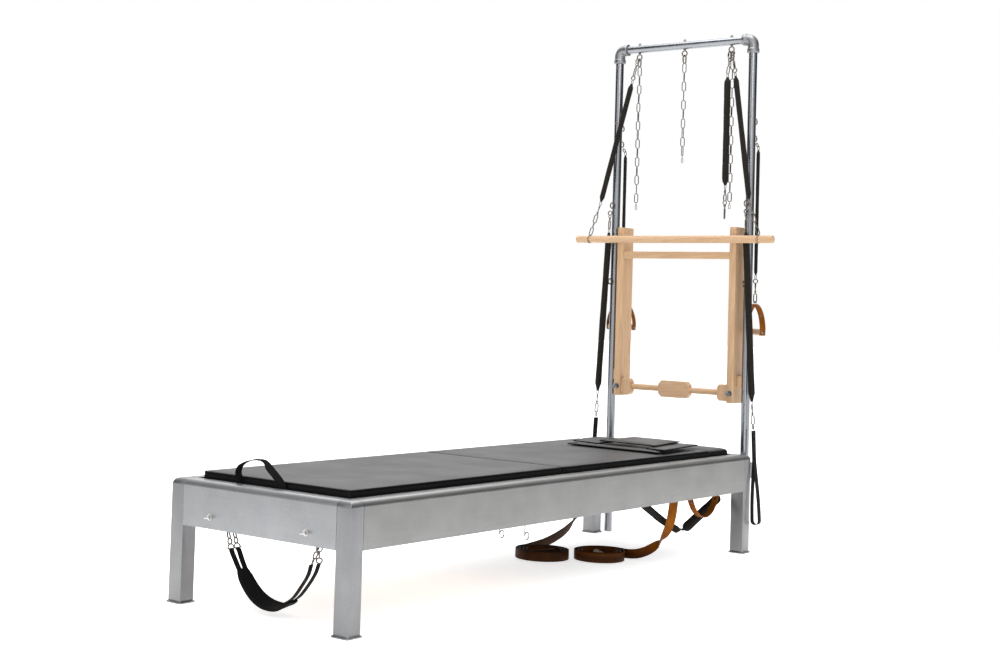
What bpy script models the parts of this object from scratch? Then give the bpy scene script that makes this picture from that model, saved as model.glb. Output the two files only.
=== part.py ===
"""Pilates reformer with a pipe tower, mat panels over the carriage, and its hanging springs and straps.

Metres, +Z up. The foot end is at -X and the tower at +X. "Right" is -Y: the right hand of a user who lies
with the head toward the tower.
"""

import math

import bmesh
import bpy
from mathutils import Matrix, Vector

# Driving dimensions
FRAME_LENGTH = 2.184
FRAME_WIDTH = 0.696
FRAME_HEIGHT = 0.356
RAIL_DEPTH = 0.131
LEG_SIZE = 0.0508
PIPE_RADIUS = 0.0159
PIPE_SPACING = 0.591
TOWER_HEIGHT = 1.907
BAR_LENGTH = 0.860

# Distances that follow from them
GAP = 0.0003
FOOT_X = -1.15617
HEAD_X = FOOT_X + FRAME_LENGTH
HALF_WIDTH = FRAME_WIDTH / 2
RAIL_BOTTOM = FRAME_HEIGHT - RAIL_DEPTH
WALL = 0.005
EDGE_RADIUS = 0.018
FLANGE = LEG_SIZE - 0.0008
LIP_Z = FRAME_HEIGHT - 0.018
LEDGE_Z = RAIL_BOTTOM + 0.025
PIPE_X = HEAD_X + 0.049
PIPE_Y = PIPE_SPACING / 2
EYE_RADIUS = 0.0105
EYE_WIRE = 0.0026
TOP_EYE_Y = PIPE_Y - 0.0915
TOP_EYE_Z = TOWER_HEIGHT - PIPE_RADIUS - 0.016
SIDE_EYE_Z = 1.285
REAR_EYE_Z = 1.534
HANG_X = PIPE_X + 0.058
SIDE_HANG_X = PIPE_X - 0.038
WOOD_FRONT = PIPE_X - 0.0375
WOOD_BACK = PIPE_X + 0.0375
WOOD_BOTTOM = 0.538
WOOD_TOP = 1.197
WOOD_OUTER = PIPE_Y - 0.0335
WOOD_INNER = WOOD_OUTER - 0.028
ROD_Z = 0.575
ROD_X = WOOD_FRONT + 0.0235
BAR_X = PIPE_X - 0.069
BAR_Z = TOP_EYE_Z - 0.7261
MAT_TOP = FRAME_HEIGHT + 0.022
MAT_HALF = HALF_WIDTH - LEG_SIZE - 0.0082
CARRIAGE_X = FOOT_X + 0.300
CARRIAGE_LENGTH = 0.660
WHEEL_RADIUS = 0.022
COIL_RADIUS = 0.095

SIDES = (("left", 1), ("right", -1))
MODEL = bpy.data.collections.new("pilates_reformer")
HELPERS = bpy.data.collections.new("cutters")


def clear_scene():
    for obj in list(bpy.data.objects):
        bpy.data.objects.remove(obj, do_unlink=True)
    for collection in (MODEL, HELPERS):
        bpy.context.scene.collection.children.link(collection)


def material(name, color, roughness, metallic=0.0):
    made = bpy.data.materials.get(name)
    if made is None:
        made = bpy.data.materials.new(name)
        made.use_nodes = True
        shader = made.node_tree.nodes["Principled BSDF"]
        shader.inputs["Base Color"].default_value = (*color, 1.0)
        shader.inputs["Roughness"].default_value = roughness
        shader.inputs["Metallic"].default_value = metallic
    return made


def aluminium():
    return material("brushed_aluminium", (0.60, 0.61, 0.62), 0.38, 1.0)


def chrome():
    return material("chrome", (0.75, 0.75, 0.76), 0.12, 1.0)


def beech():
    return material("beech", (0.70, 0.48, 0.27), 0.5)


def vinyl():
    return material("black_vinyl", (0.03, 0.03, 0.032), 0.45)


def webbing():
    return material("black_webbing", (0.015, 0.015, 0.015), 0.85)


def leather():
    return material("brown_leather", (0.22, 0.07, 0.015), 0.55)


def nylon():
    return material("black_nylon", (0.03, 0.03, 0.03), 0.4)


def place(obj, look, collection=MODEL):
    collection.objects.link(obj)
    if look is not None:
        obj.data.materials.append(look)
    if collection is HELPERS:
        obj.hide_render = True
        obj.display_type = "WIRE"
    return obj


def mesh_object(name, bm, look, collection=MODEL):
    mesh = bpy.data.meshes.new(name)
    bmesh.ops.recalc_face_normals(bm, faces=bm.faces)
    bm.to_mesh(mesh)
    bm.free()
    return place(bpy.data.objects.new(name, mesh), look, collection)


def box(name, low, high, look, collection=MODEL, rounded=0.0, edges=None):
    """A box between two corners. All edges are rounded, or those for which edges(middle) is true."""
    low, high = Vector(low), Vector(high)
    bm = bmesh.new()
    bmesh.ops.create_cube(bm, size=1.0)
    bmesh.ops.scale(bm, vec=high - low, verts=bm.verts)
    bmesh.ops.translate(bm, vec=(low + high) / 2, verts=bm.verts)
    if rounded:
        chosen = [e for e in bm.edges if edges is None or edges((e.verts[0].co + e.verts[1].co) / 2)]
        bmesh.ops.bevel(bm, geom=chosen, offset=rounded, segments=3, profile=0.5, affect="EDGES")
    return mesh_object(name, bm, look, collection)


def rod(name, start, end, radius, look, collection=MODEL, sides=16):
    """A straight round bar from start to end."""
    start, end = Vector(start), Vector(end)
    run = end - start
    bm = bmesh.new()
    bmesh.ops.create_cone(bm, cap_ends=True, segments=sides, radius1=radius, radius2=radius, depth=run.length)
    turn = run.to_track_quat("Z", "Y").to_matrix().to_4x4()
    bmesh.ops.transform(bm, matrix=Matrix.Translation((start + end) / 2) @ turn, verts=bm.verts)
    made = mesh_object(name, bm, look, collection)
    made.data.shade_smooth()
    made.data.set_sharp_from_angle(angle=math.radians(35))
    return made


def tube(name, points, radii, look, collection=MODEL, resolution=3):
    """A solid tube through points, with one radius for all of them or one each."""
    if isinstance(radii, float):
        radii = [radii] * len(points)
    curve = bpy.data.curves.new(name, "CURVE")
    curve.dimensions = "3D"
    curve.bevel_depth = 1.0
    curve.bevel_resolution = resolution
    curve.use_fill_caps = True
    spline = curve.splines.new("POLY")
    spline.points.add(len(points) - 1)
    for point, co, radius in zip(spline.points, points, radii):
        point.co = (*co, 1.0)
        point.radius = radius
    return place(bpy.data.objects.new(name, curve), look, collection)


def torus(name, centre, ring, wire, axis, look, collection=HELPERS):
    bpy.ops.mesh.primitive_torus_add(
        major_radius=ring, minor_radius=wire, major_segments=14, minor_segments=6, location=centre
    )
    obj = bpy.context.object
    obj.name = name
    obj.rotation_mode = "QUATERNION"
    obj.rotation_quaternion = Vector(axis).to_track_quat("Z", "Y")
    for owner in list(obj.users_collection):
        owner.objects.unlink(obj)
    return place(obj, look, collection)


def plate(name, outlines, thickness, matrix, look, collection=MODEL):
    """Flat outlines, the second a hole, given thickness along their own Z and put in place by a matrix."""
    curve = bpy.data.curves.new(name, "CURVE")
    curve.dimensions = "2D"
    curve.fill_mode = "BOTH"
    curve.extrude = thickness / 2
    for outline in outlines:
        spline = curve.splines.new("POLY")
        spline.points.add(len(outline) - 1)
        spline.use_cyclic_u = True
        for point, co in zip(spline.points, outline):
            point.co = (*co, 0.0, 1.0)
    obj = place(bpy.data.objects.new(name, curve), look, collection)
    obj.matrix_world = matrix
    return obj


def as_mesh(obj):
    """The evaluated object as a plain mesh with its caps welded."""
    graph = bpy.context.evaluated_depsgraph_get()
    mesh = bpy.data.meshes.new_from_object(obj.evaluated_get(graph))
    mesh.transform(obj.matrix_world)
    bm = bmesh.new()
    bm.from_mesh(mesh)
    bmesh.ops.remove_doubles(bm, verts=bm.verts, dist=0.00001)
    bmesh.ops.recalc_face_normals(bm, faces=bm.faces)
    bm.to_mesh(mesh)
    bm.free()
    made = bpy.data.objects.new(obj.name, mesh)
    owner = obj.users_collection[0]
    name = obj.name
    bpy.data.objects.remove(obj, do_unlink=True)
    made.name = name
    owner.objects.link(made)
    if owner is HELPERS:
        made.hide_render = True
        made.display_type = "WIRE"
    return made


def combine(target, others, operation="UNION"):
    """Joins helper solids to the target, or cuts them from it."""
    bpy.context.view_layer.update()
    target = as_mesh(target)
    for other in others:
        other = as_mesh(other)
        cut = target.modifiers.new(other.name, "BOOLEAN")
        cut.operation = operation
        cut.solver = "EXACT"
        cut.object = other
    bpy.context.view_layer.update()
    return target


def arc(centre, radius, start, end, steps):
    """Points on a circular arc, with angles in degrees."""
    turns = [math.radians(start + (end - start) * i / steps) for i in range(steps + 1)]
    return [(centre[0] + radius * math.cos(t), centre[1] + radius * math.sin(t)) for t in turns]


def smooth(points, step):
    """Points every step or so along a Catmull-Rom curve through the given points."""
    points = [Vector(p) for p in points]
    ends = [2 * points[0] - points[1], *points, 2 * points[-1] - points[-2]]
    made = []
    for a, b, c, d in zip(ends, ends[1:], ends[2:], ends[3:]):
        count = max(1, round((c - b).length / step))
        for i in range(count):
            t = i / count
            made.append(
                b
                + 0.5 * (c - a) * t
                + 0.5 * (2 * a - 5 * b + 4 * c - d) * t**2
                + 0.5 * (3 * b - 3 * c + d - a) * t**3
            )
    return [*made, points[-1]]


# Frame


def rail_outline(depth_inward, ledge):
    """Half of a rail section: distance in from the outer face, and height. Its ledge carries the wheels."""
    corner = (EDGE_RADIUS, FRAME_HEIGHT - EDGE_RADIUS)
    outline = [(0.0, RAIL_BOTTOM), *arc(corner, EDGE_RADIUS, 180, 90, 5), (depth_inward, FRAME_HEIGHT)]
    if ledge:
        outline += [(FLANGE, LIP_Z), (FLANGE + 0.020, LIP_Z), (FLANGE + 0.020, LIP_Z - WALL)]
        outline += [(FLANGE - WALL, LIP_Z - WALL), (FLANGE - WALL, FRAME_HEIGHT - WALL)]
    else:
        outline += [(depth_inward, FRAME_HEIGHT - WALL)]
    outline += arc(corner, EDGE_RADIUS - WALL, 90, 180, 3)
    if ledge:
        outline += [(WALL, LEDGE_Z), (0.075, LEDGE_Z), (0.075, LEDGE_Z - WALL), (WALL, LEDGE_Z - WALL)]
    return outline + [(WALL, RAIL_BOTTOM + WALL), (0.030, RAIL_BOTTOM + WALL), (0.030, RAIL_BOTTOM)]


def long_rails():
    middle_x = FOOT_X + FRAME_LENGTH / 2
    length = FRAME_LENGTH - 2 * LEG_SIZE - 2 * GAP
    for side, sign in SIDES:
        outline = [(sign * (HALF_WIDTH - t), z) for t, z in rail_outline(FLANGE, True)]
        # Local X, Y and Z become world Y, Z and X.
        turn = Matrix(((0, 0, 1, middle_x), (1, 0, 0, 0), (0, 1, 0, 0), (0, 0, 0, 1)))
        plate(f"long_rail_{side}", [outline], length, turn, aluminium())


def end_rails():
    width = FRAME_WIDTH - 2 * LEG_SIZE - 2 * GAP
    for name, end_x, sign in (("foot_rail", FOOT_X, 1), ("head_rail", HEAD_X, -1)):
        outline = [(end_x + sign * t, z) for t, z in rail_outline(FLANGE, False)]
        # Local X, Y and Z become world X, Z and -Y.
        turn = Matrix(((1, 0, 0, 0), (0, 0, -1, 0), (0, 1, 0, 0), (0, 0, 0, 1)))
        rail = plate(name, [outline], width, turn, aluminium())
        if name == "foot_rail":
            combine(rail, [bolt for y in (0.187, -0.187) for bolt in sling_bolt(y)])


def sling_bolt(y):
    z = RAIL_BOTTOM + 0.033
    shank = rod(f"bolt_{y}", (FOOT_X + 0.002, y, z), (FOOT_X - 0.024, y, z), 0.004, chrome(), HELPERS, 10)
    nut = rod(f"nut_{y}", (FOOT_X + 0.001, y, z), (FOOT_X - 0.008, y, z), 0.009, chrome(), HELPERS, 6)
    return shank, nut


def legs():
    for end, near_x, out_x in (("foot", FOOT_X, -1), ("head", HEAD_X, 1)):
        for side, sign in SIDES:
            xs = sorted((near_x, near_x - out_x * LEG_SIZE))
            ys = sorted((sign * HALF_WIDTH, sign * (HALF_WIDTH - LEG_SIZE)))

            def outer_top(middle, face_x=near_x, face_y=sign * HALF_WIDTH):
                high = middle.z > FRAME_HEIGHT - 0.001
                return high and (abs(middle.x - face_x) < 0.001 or abs(middle.y - face_y) < 0.001)

            low, high = (xs[0], ys[0], 0.0005), (xs[1], ys[1], FRAME_HEIGHT)
            leg = box(f"leg_{end}_{side}", low, high, aluminium(), rounded=EDGE_RADIUS, edges=outer_top)
            foot_low = (xs[0] - 0.006, ys[0] - 0.006, 0.0)
            foot_high = (xs[1] + 0.006, ys[1] + 0.006, 0.005)
            foot = box(f"foot_{end}_{side}", foot_low, foot_high, aluminium(), HELPERS)
            combine(leg, [foot])


def gear_bar():
    """The bar that the carriage springs hook on, with two hooks for the foot sling under it."""
    x = FOOT_X + 0.071
    low = (x - 0.009, 0.048 - HALF_WIDTH, LEDGE_Z + GAP)
    high = (x + 0.009, HALF_WIDTH - 0.048, LEDGE_Z + 0.038)
    bar = box("gear_bar", low, high, aluminium(), rounded=0.002)
    hooks = [
        rod(f"sling_hook_{y}", (x, y, LEDGE_Z + 0.005), (x, y, LEDGE_Z - 0.032), 0.003, chrome(), HELPERS, 8)
        for y in (0.172, -0.172)
    ]
    combine(bar, hooks)


# Tower


def eye_bolt(name, base, direction, ring_axis):
    """Helpers for an eye bolt: a shank out of the pipe's surface, and its ring."""
    base, direction = Vector(base), Vector(direction)
    shank_end = base + direction * 0.008
    shank = rod(f"{name}_shank", base - direction * 0.006, shank_end, 0.003, chrome(), HELPERS, 8)
    centre = base + direction * (0.006 + EYE_RADIUS)
    return shank, torus(f"{name}_ring", centre, EYE_RADIUS, EYE_WIRE, ring_axis, chrome())


def tower_pipes():
    for side, sign in SIDES:
        y = sign * PIPE_Y
        ends = (PIPE_X, y, 0.0), (PIPE_X, y, TOWER_HEIGHT - 0.0525)
        pipe = rod(f"tower_pipe_{side}", *ends, PIPE_RADIUS, chrome())
        parts = []
        for z in (SIDE_EYE_Z, 0.984):
            parts += eye_bolt(f"front_eye_{side}_{z}", (PIPE_X - PIPE_RADIUS, y, z), (-1, 0, 0), (0, 1, 0))
        for z in (REAR_EYE_Z, REAR_EYE_Z + 0.064):
            parts += eye_bolt(f"rear_eye_{side}_{z}", (PIPE_X + PIPE_RADIUS, y, z), (1, 0, 0), (0, 1, 0))
        combine(pipe, parts)


def cross_pipe():
    end = PIPE_Y - 0.0405
    pipe = rod("cross_pipe", (PIPE_X, -end, TOWER_HEIGHT), (PIPE_X, end, TOWER_HEIGHT), PIPE_RADIUS, chrome())
    parts = []
    for y in (-TOP_EYE_Y, 0.0, TOP_EYE_Y):
        parts += eye_bolt(f"top_eye_{y}", (PIPE_X, y, TOWER_HEIGHT - PIPE_RADIUS), (0, 0, -1), (1, 0, 0))
        top = TOWER_HEIGHT + PIPE_RADIUS
        ends = (PIPE_X, y, top - 0.004), (PIPE_X, y, top + 0.007)
        parts.append(rod(f"top_nut_{y}", *ends, 0.005, chrome(), HELPERS, 6))
    combine(pipe, parts)


def elbows():
    for side, sign in SIDES:
        turn = 0.0225
        bend = arc((PIPE_Y - turn, TOWER_HEIGHT - turn), turn, 0, 90, 5)
        run = [(PIPE_Y, TOWER_HEIGHT - 0.052), *bend, (PIPE_Y - 0.040, TOWER_HEIGHT)]
        tube(f"elbow_{side}", [(PIPE_X, sign * y, z) for y, z in run], 0.0208, chrome(), resolution=4)


def pipe_clamps():
    for side, sign in SIDES:
        y = sign * PIPE_Y
        low = (HEAD_X + 0.0004, y - 0.024, FRAME_HEIGHT - 0.094)
        high = (PIPE_X + 0.022, y + 0.024, FRAME_HEIGHT - 0.034)
        clamp = box(f"pipe_clamp_{side}", low, high, aluminium(), rounded=0.003)
        ends = (PIPE_X, y, FRAME_HEIGHT - 0.106), (PIPE_X, y, FRAME_HEIGHT - 0.016)
        bore = rod(f"clamp_bore_{side}", *ends, PIPE_RADIUS + GAP, None, HELPERS)
        combine(clamp, [bore], "DIFFERENCE")


# Wooden sliding frame


def sliding_frame():
    for side, sign in SIDES:
        ys = sorted((sign * WOOD_INNER, sign * WOOD_OUTER))
        low, high = (WOOD_FRONT, ys[0], WOOD_BOTTOM), (WOOD_BACK, ys[1], WOOD_TOP)
        leg = box(f"sliding_leg_{side}", low, high, beech(), rounded=0.003)
        ys = sorted((sign * (WOOD_INNER - 0.044), sign * (WOOD_INNER + 0.002)))
        low, high = (ROD_X - 0.0125, ys[0], ROD_Z - 0.031), (ROD_X + 0.0125, ys[1], ROD_Z + 0.031)
        block = box(f"rod_block_{side}", low, high, beech(), HELPERS)
        leg = combine(leg, [block])
        ends = (ROD_X, sign * (WOOD_INNER - 0.054), ROD_Z), (ROD_X, sign * (WOOD_INNER - 0.012), ROD_Z)
        bore = rod(f"rod_bore_{side}", *ends, 0.0119, None, HELPERS)
        cut = leg.modifiers.new("rod_bore", "BOOLEAN")
        cut.operation = "DIFFERENCE"
        cut.object = bore
    half = WOOD_INNER - GAP
    low, high = (WOOD_FRONT, -half, 1.076), (WOOD_FRONT + 0.020, half, 1.103)
    box("sliding_slat", low, high, beech(), rounded=0.002)


def foot_rod():
    """The round rod that the feet push, with its eight-sided paddle."""
    reach = WOOD_INNER - 0.013
    bar = rod("foot_rod", (ROD_X, -reach, ROD_Z), (ROD_X, reach, ROD_Z), 0.0115, beech())
    half_w, half_h, cut = 0.0675, 0.0315, 0.013
    corners = ((1, 1), (-1, 1), (-1, -1), (1, -1))
    outline = []
    for number, (a, b) in enumerate(corners):
        pair = [(a * (half_w - cut), b * half_h), (a * half_w, b * (half_h - cut))]
        outline += pair[::-1] if number % 2 == 0 else pair
    # Local X, Y and Z become world Y, Z and X.
    turn = Matrix(((0, 0, 1, ROD_X), (1, 0, 0, 0), (0, 1, 0, ROD_Z), (0, 0, 0, 1)))
    paddle = plate("paddle", [outline], 0.025, turn, None, HELPERS)
    combine(bar, [paddle])


def knobs():
    for side, sign in SIDES:
        y = sign * (WOOD_INNER + WOOD_OUTER) / 2
        x = WOOD_FRONT - GAP
        rod(f"clamp_knob_{side}", (x, y, ROD_Z), (x - 0.024, y, ROD_Z), 0.0105, nylon(), sides=14)


def gliders():
    """Wooden saddles that reach half round the pipes and carry the wooden frame."""
    for side, sign in SIDES:
        ys = sorted((sign * (WOOD_OUTER + GAP), sign * (PIPE_Y + 0.004)))
        shoe = box(f"glider_{side}", (PIPE_X - 0.010, ys[0], 0.60), (PIPE_X + 0.026, ys[1], 0.64), beech())
        ends = (PIPE_X, sign * PIPE_Y, 0.59), (PIPE_X, sign * PIPE_Y, 0.65)
        bore = rod(f"glider_bore_{side}", *ends, PIPE_RADIUS + 0.0005, None, HELPERS, 24)
        combine(shoe, [bore], "DIFFERENCE")


# Hanging springs, chains and straps


def hung_spring(name, top_hook, top, bottom, bottom_hook, radius, look, hook=0.0035):
    """A sleeved spring: a thin hook, the sleeve with tapered ends, and a thin hook below."""
    top, bottom = Vector(top), Vector(bottom)
    run = (bottom - top).normalized()
    taper = run * radius * 0.9
    points = [Vector(top_hook), top - run * 0.001, top, top + taper]
    points += [bottom - taper, bottom, bottom + run * 0.001]
    radii = [hook, hook, radius * 0.6, radius, radius, radius * 0.6, hook]
    if bottom_hook is not None:
        points.append(Vector(bottom_hook))
        radii.append(hook)
    return tube(name, points, radii, look)


def roll_down_set():
    bar_ends = (BAR_X, -BAR_LENGTH / 2, BAR_Z), (BAR_X, BAR_LENGTH / 2, BAR_Z)
    rod("roll_down_bar", *bar_ends, 0.0143, beech(), sides=20)
    for side, sign in SIDES:
        hung_spring(
            f"roll_down_spring_{side}",
            (PIPE_X - 0.010, sign * (TOP_EYE_Y + 0.015), TOP_EYE_Z - 0.020),
            (PIPE_X - 0.012, sign * (TOP_EYE_Y + 0.026), TOP_EYE_Z - 0.1051),
            (BAR_X + 0.004, sign * (BAR_LENGTH / 2 - 0.104), BAR_Z + 0.149),
            (BAR_X, sign * (BAR_LENGTH / 2 - 0.058), BAR_Z + 0.0185),
            0.0100,
            webbing(),
        )


def thick_spring():
    x, y = PIPE_X - 0.026, -TOP_EYE_Y
    hook = (x + 0.014, y, TOP_EYE_Z - 0.018)
    top, bottom, end = (TOP_EYE_Z - fall for fall in (0.1081, 0.5201, 0.6501))
    hung_spring("thick_spring", hook, (x, y, top), (x, y, bottom), (x, y, end), 0.016, webbing())


def chains():
    """Each chain is a slim six-sided bar here, as wide as its links."""
    places = (
        ("left", PIPE_X, TOP_EYE_Y, 0.0251, 0.6071),
        ("middle", PIPE_X, 0.0, 0.0251, 0.4281),
        ("right", PIPE_X + 0.010, -TOP_EYE_Y, 0.0251, 0.6081),
    )
    for side, x, y, top, bottom in places:
        ends = (x, y, TOP_EYE_Z - top), (x, y, TOP_EYE_Z - bottom)
        rod(f"chain_{side}", *ends, 0.0085, chrome(), sides=6)


def leg_springs():
    for side, sign in SIDES:
        hung_spring(
            f"leg_spring_{side}",
            (SIDE_HANG_X, sign * (PIPE_Y + 0.0045), SIDE_EYE_Z - 0.020),
            (SIDE_HANG_X, sign * (PIPE_Y + 0.0065), SIDE_EYE_Z - 0.108),
            (PIPE_X - 0.033, sign * (PIPE_Y + 0.0435), SIDE_EYE_Z - 0.735),
            (PIPE_X - 0.030, sign * (PIPE_Y + 0.0505), SIDE_EYE_Z - 0.838),
            0.0125,
            webbing(),
        )


def loop_outline(half_gap, length, neck):
    """A hanging teardrop: closed for the neck, then opening to a round bottom. Heights run down from zero."""
    side = []
    steps = 10
    for i in range(steps + 1):
        fall = neck + (length - neck - half_gap) * i / steps
        side.append((half_gap * math.sin(math.pi / 2 * i / steps) ** 0.7, -fall))
    bottom = arc((0.0, -(length - half_gap)), half_gap, 0, -180, 8)
    return side, bottom


def leg_straps():
    """Webbing loops under the leg springs. Their width lies along X."""
    length, neck, thick = 0.345, 0.110, 0.0035
    for side, sign in SIDES:
        inner_side, inner_bottom = loop_outline(0.0125, length - thick, neck + 0.004)
        outer_side, outer_bottom = loop_outline(0.0125 + thick, length, neck)
        inner = inner_side[1:] + inner_bottom[1:-1] + [(-a, b) for a, b in reversed(inner_side[1:])]
        outer = [(thick, 0.0), (thick, -neck * 0.9)] + outer_side[3:] + outer_bottom[1:-1]
        outer += [(-a, b) for a, b in reversed(outer_side[3:])]
        outer += [(-thick, -neck * 0.9), (-thick, 0.0)]
        lean = math.radians(3.0) * sign
        # Local X, Y and Z become world Y, Z and X, and then the loop leans outward.
        turn = Matrix(((0, 0, 1, 0), (1, 0, 0, 0), (0, 1, 0, 0), (0, 0, 0, 1)))
        top = Matrix.Translation((PIPE_X - 0.029, sign * (PIPE_Y + 0.0505), SIDE_EYE_Z - 0.840))
        where = top @ Matrix.Rotation(lean, 4, "X") @ turn
        plate(f"leg_strap_{side}", [outer, inner], 0.028, where, webbing())


def arm_springs():
    for side, sign in SIDES:
        y = sign * PIPE_Y
        hook = (PIPE_X + PIPE_RADIUS + 0.0165, y, REAR_EYE_Z - EYE_RADIUS - 0.0075)
        ends = (HANG_X, y, REAR_EYE_Z - 0.028), (HANG_X, y, REAR_EYE_Z - 0.515)
        hung_spring(f"arm_spring_{side}", hook, *ends, (HANG_X, y, REAR_EYE_Z - 0.614), 0.0065, webbing(), 0.003)


def arm_handles():
    """A leather strap from the snap hook down to both ends of a round grip, as one flat frame."""
    outer = [(0.010, 0.0), (0.062, -0.085), (0.064, -0.119)]
    outer += [(-a, b) for a, b in reversed(outer)]
    inner = [(0.006, -0.008), (0.055, -0.087), (0.055, -0.094)]
    inner += [(-a, b) for a, b in reversed(inner)]
    for side, turn_z in (("left", 0.0), ("right", -33.0)):
        y = PIPE_Y if side == "left" else -PIPE_Y
        # Local X, Y and Z become world Y, Z and X, and then the handle turns about its snap.
        turn = Matrix(((0, 0, 1, 0), (1, 0, 0, 0), (0, 1, 0, 0), (0, 0, 0, 1)))
        spin = Matrix.Rotation(math.radians(turn_z), 4, "Z")
        where = Matrix.Translation((HANG_X, y, REAR_EYE_Z - 0.622)) @ spin @ turn
        plate(f"arm_handle_{side}", [outer, inner], 0.025, where, leather())


def foot_sling():
    """The padded sling under the foot rail, a flat band on a smooth hanging curve."""
    x = FOOT_X + 0.071
    route = [(-0.166, 0.036), (-0.150, 0.085), (-0.110, 0.165), (-0.045, 0.210)]
    route += [(0.030, 0.210), (0.100, 0.165), (0.150, 0.085), (0.166, 0.036)]
    line = [Vector((y, z)) for y, z, _ in smooth([(y, LEDGE_Z - fall, 0.0) for y, fall in route], 0.028)]
    thick = 0.005
    upper, lower = [], []
    for number, here in enumerate(line):
        along = (line[min(number + 1, len(line) - 1)] - line[max(number - 1, 0)]).normalized()
        across = Vector((-along.y, along.x)) * thick
        upper.append(tuple(here + across))
        lower.append(tuple(here - across))
    turn = Matrix(((0, 0, 1, x), (1, 0, 0, 0), (0, 1, 0, 0), (0, 0, 0, 1)))
    plate("foot_sling", [lower + upper[::-1]], 0.050, turn, webbing())


# Mats and pads


def mats():
    z = LIP_Z + GAP
    half = MAT_HALF
    seam = FOOT_X + 1.059
    head_end = HEAD_X - 0.192
    panels = (
        ("mat_panel_foot", FOOT_X + LEG_SIZE + 0.0072, seam - 0.001),
        ("mat_panel_head", seam + 0.001, head_end - 0.001),
        ("mat_end_pad", head_end + 0.001, HEAD_X - LEG_SIZE - 0.0032),
    )
    for name, start, end in panels:
        box(name, (start, -half, z), (end, half, MAT_TOP), vinyl(), rounded=0.006)


def flap_pad():
    """The loose pad on the head panel: two wide ends joined by a narrower middle."""
    middle_x = HEAD_X - 0.356
    half_length, half_width, waist = 0.160, 0.200, 0.095
    quarter = [(half_length, half_width), (waist, half_width), (waist * 0.8, half_width * 0.45)]
    outline = quarter + [(-a, b) for a, b in reversed(quarter)]
    outline += [(-a, -b) for a, b in quarter] + [(a, -b) for a, b in reversed(quarter)]
    where = Matrix.Translation((middle_x, -0.062, MAT_TOP + GAP + 0.006))
    plate("flap_pad", [outline], 0.012, where, vinyl())


# Carriage


def carriage():
    end_x = CARRIAGE_X + CARRIAGE_LENGTH
    half = HALF_WIDTH - 0.078
    low, high = (CARRIAGE_X, -half, LEDGE_Z + 0.0475), (end_x, half, LEDGE_Z + 0.0595)
    board = box("carriage_board", low, high, beech(), rounded=0.002)
    brackets = []
    for x in wheel_places():
        for side, sign in SIDES:
            ys = sorted((sign * (HALF_WIDTH - 0.094), sign * (HALF_WIDTH - 0.081)))
            corners = (x - 0.018, ys[0], LEDGE_Z + 0.012), (x + 0.018, ys[1], LEDGE_Z + 0.050)
            brackets.append(box(f"wheel_bracket_{side}_{x:.2f}", *corners, None, HELPERS))
            wheel(side, sign, x)
    combine(board, brackets)
    half = HALF_WIDTH - 0.080
    low, high = (CARRIAGE_X + 0.004, -half, LEDGE_Z + 0.060), (end_x - 0.004, half, LEDGE_Z + 0.0815)
    box("carriage_pad", low, high, vinyl(), rounded=0.005)


def wheel_places():
    return CARRIAGE_X + 0.060, CARRIAGE_X + CARRIAGE_LENGTH - 0.060


def wheel(side, sign, x):
    """A wheel with its axle stub, turned about Y. It stands on the rail's ledge."""
    end = "foot" if x < CARRIAGE_X + CARRIAGE_LENGTH / 2 else "head"
    z = LEDGE_Z + WHEEL_RADIUS + GAP
    reach = [(0.0795, 0.004), (0.0675, 0.004), (0.0670, 0.020)]
    reach += [(0.0655, WHEEL_RADIUS), (0.0515, WHEEL_RADIUS), (0.0500, 0.020)]
    points = [(x, sign * (HALF_WIDTH - inset), z) for inset, _ in reach]
    tube(f"carriage_wheel_{end}_{side}", points, [r for _, r in reach], nylon(), resolution=6)


def carriage_springs():
    z = LEDGE_Z + 0.034
    for number, y in enumerate((-0.150, -0.055, 0.055, 0.150), 1):
        points = [(FOOT_X + x, y, z) for x in (0.120, 0.140, 0.560, 0.580)]
        tube(f"carriage_spring_{number}", points, [0.004, 0.010, 0.010, 0.004], chrome(), resolution=2)


# Leather straps and what is stored under the frame


def strap_route(side):
    """The free run of each leather strap, from under the rail's ledge down to its coil on the floor."""
    if side == "right":
        route = [(1.730, -0.296, 0.238), (1.728, -0.294, 0.200), (1.722, -0.289, 0.150)]
        route += [(1.714, -0.277, 0.108), (1.706, -0.254, 0.072), (1.697, -0.222, 0.045)]
        route += [(1.690, -0.185, 0.028), (1.689, -0.150, 0.0215), (1.6952, -0.1200, 0.0195)]
    else:
        route = [(2.050, 0.286, 0.238), (2.040, 0.278, 0.205), (1.990, 0.250, 0.150), (1.900, 0.215, 0.099)]
        route += [(1.780, 0.190, 0.056), (1.650, 0.178, 0.030), (1.540, 0.174, 0.0205)]
        route += [(1.4915, 0.1695, 0.0195)]
    return [(FOOT_X + x, y, z) for x, y, z in route]


def leather_straps():
    for side, centre in (("right", (1.605, -0.078)), ("left", (1.473, 0.072))):
        tube(f"strap_{side}", smooth(strap_route(side), 0.02), 0.004, leather(), resolution=2)
        coil(f"strap_coil_{side}", (FOOT_X + centre[0], centre[1]))


def coil(name, centre):
    """A turned ring the size of the wound strap, standing on the floor on its edges."""
    profile = [(COIL_RADIUS, 0.036), (COIL_RADIUS, 0.001), (0.030, 0.001), (0.030, 0.036)]
    mesh = bpy.data.meshes.new(name)
    bm = bmesh.new()
    verts = [bm.verts.new((r, 0.0, z)) for r, z in profile]
    for a, b in zip(verts, verts[1:] + verts[:1]):
        bm.edges.new((a, b))
    bm.to_mesh(mesh)
    bm.free()
    ring = place(bpy.data.objects.new(name, mesh), leather())
    ring.location = (*centre, 0.0)
    spin = ring.modifiers.new("turned", "SCREW")
    spin.steps = spin.render_steps = 36
    spin.use_merge_vertices = True
    spin.merge_threshold = 0.0001


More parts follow.
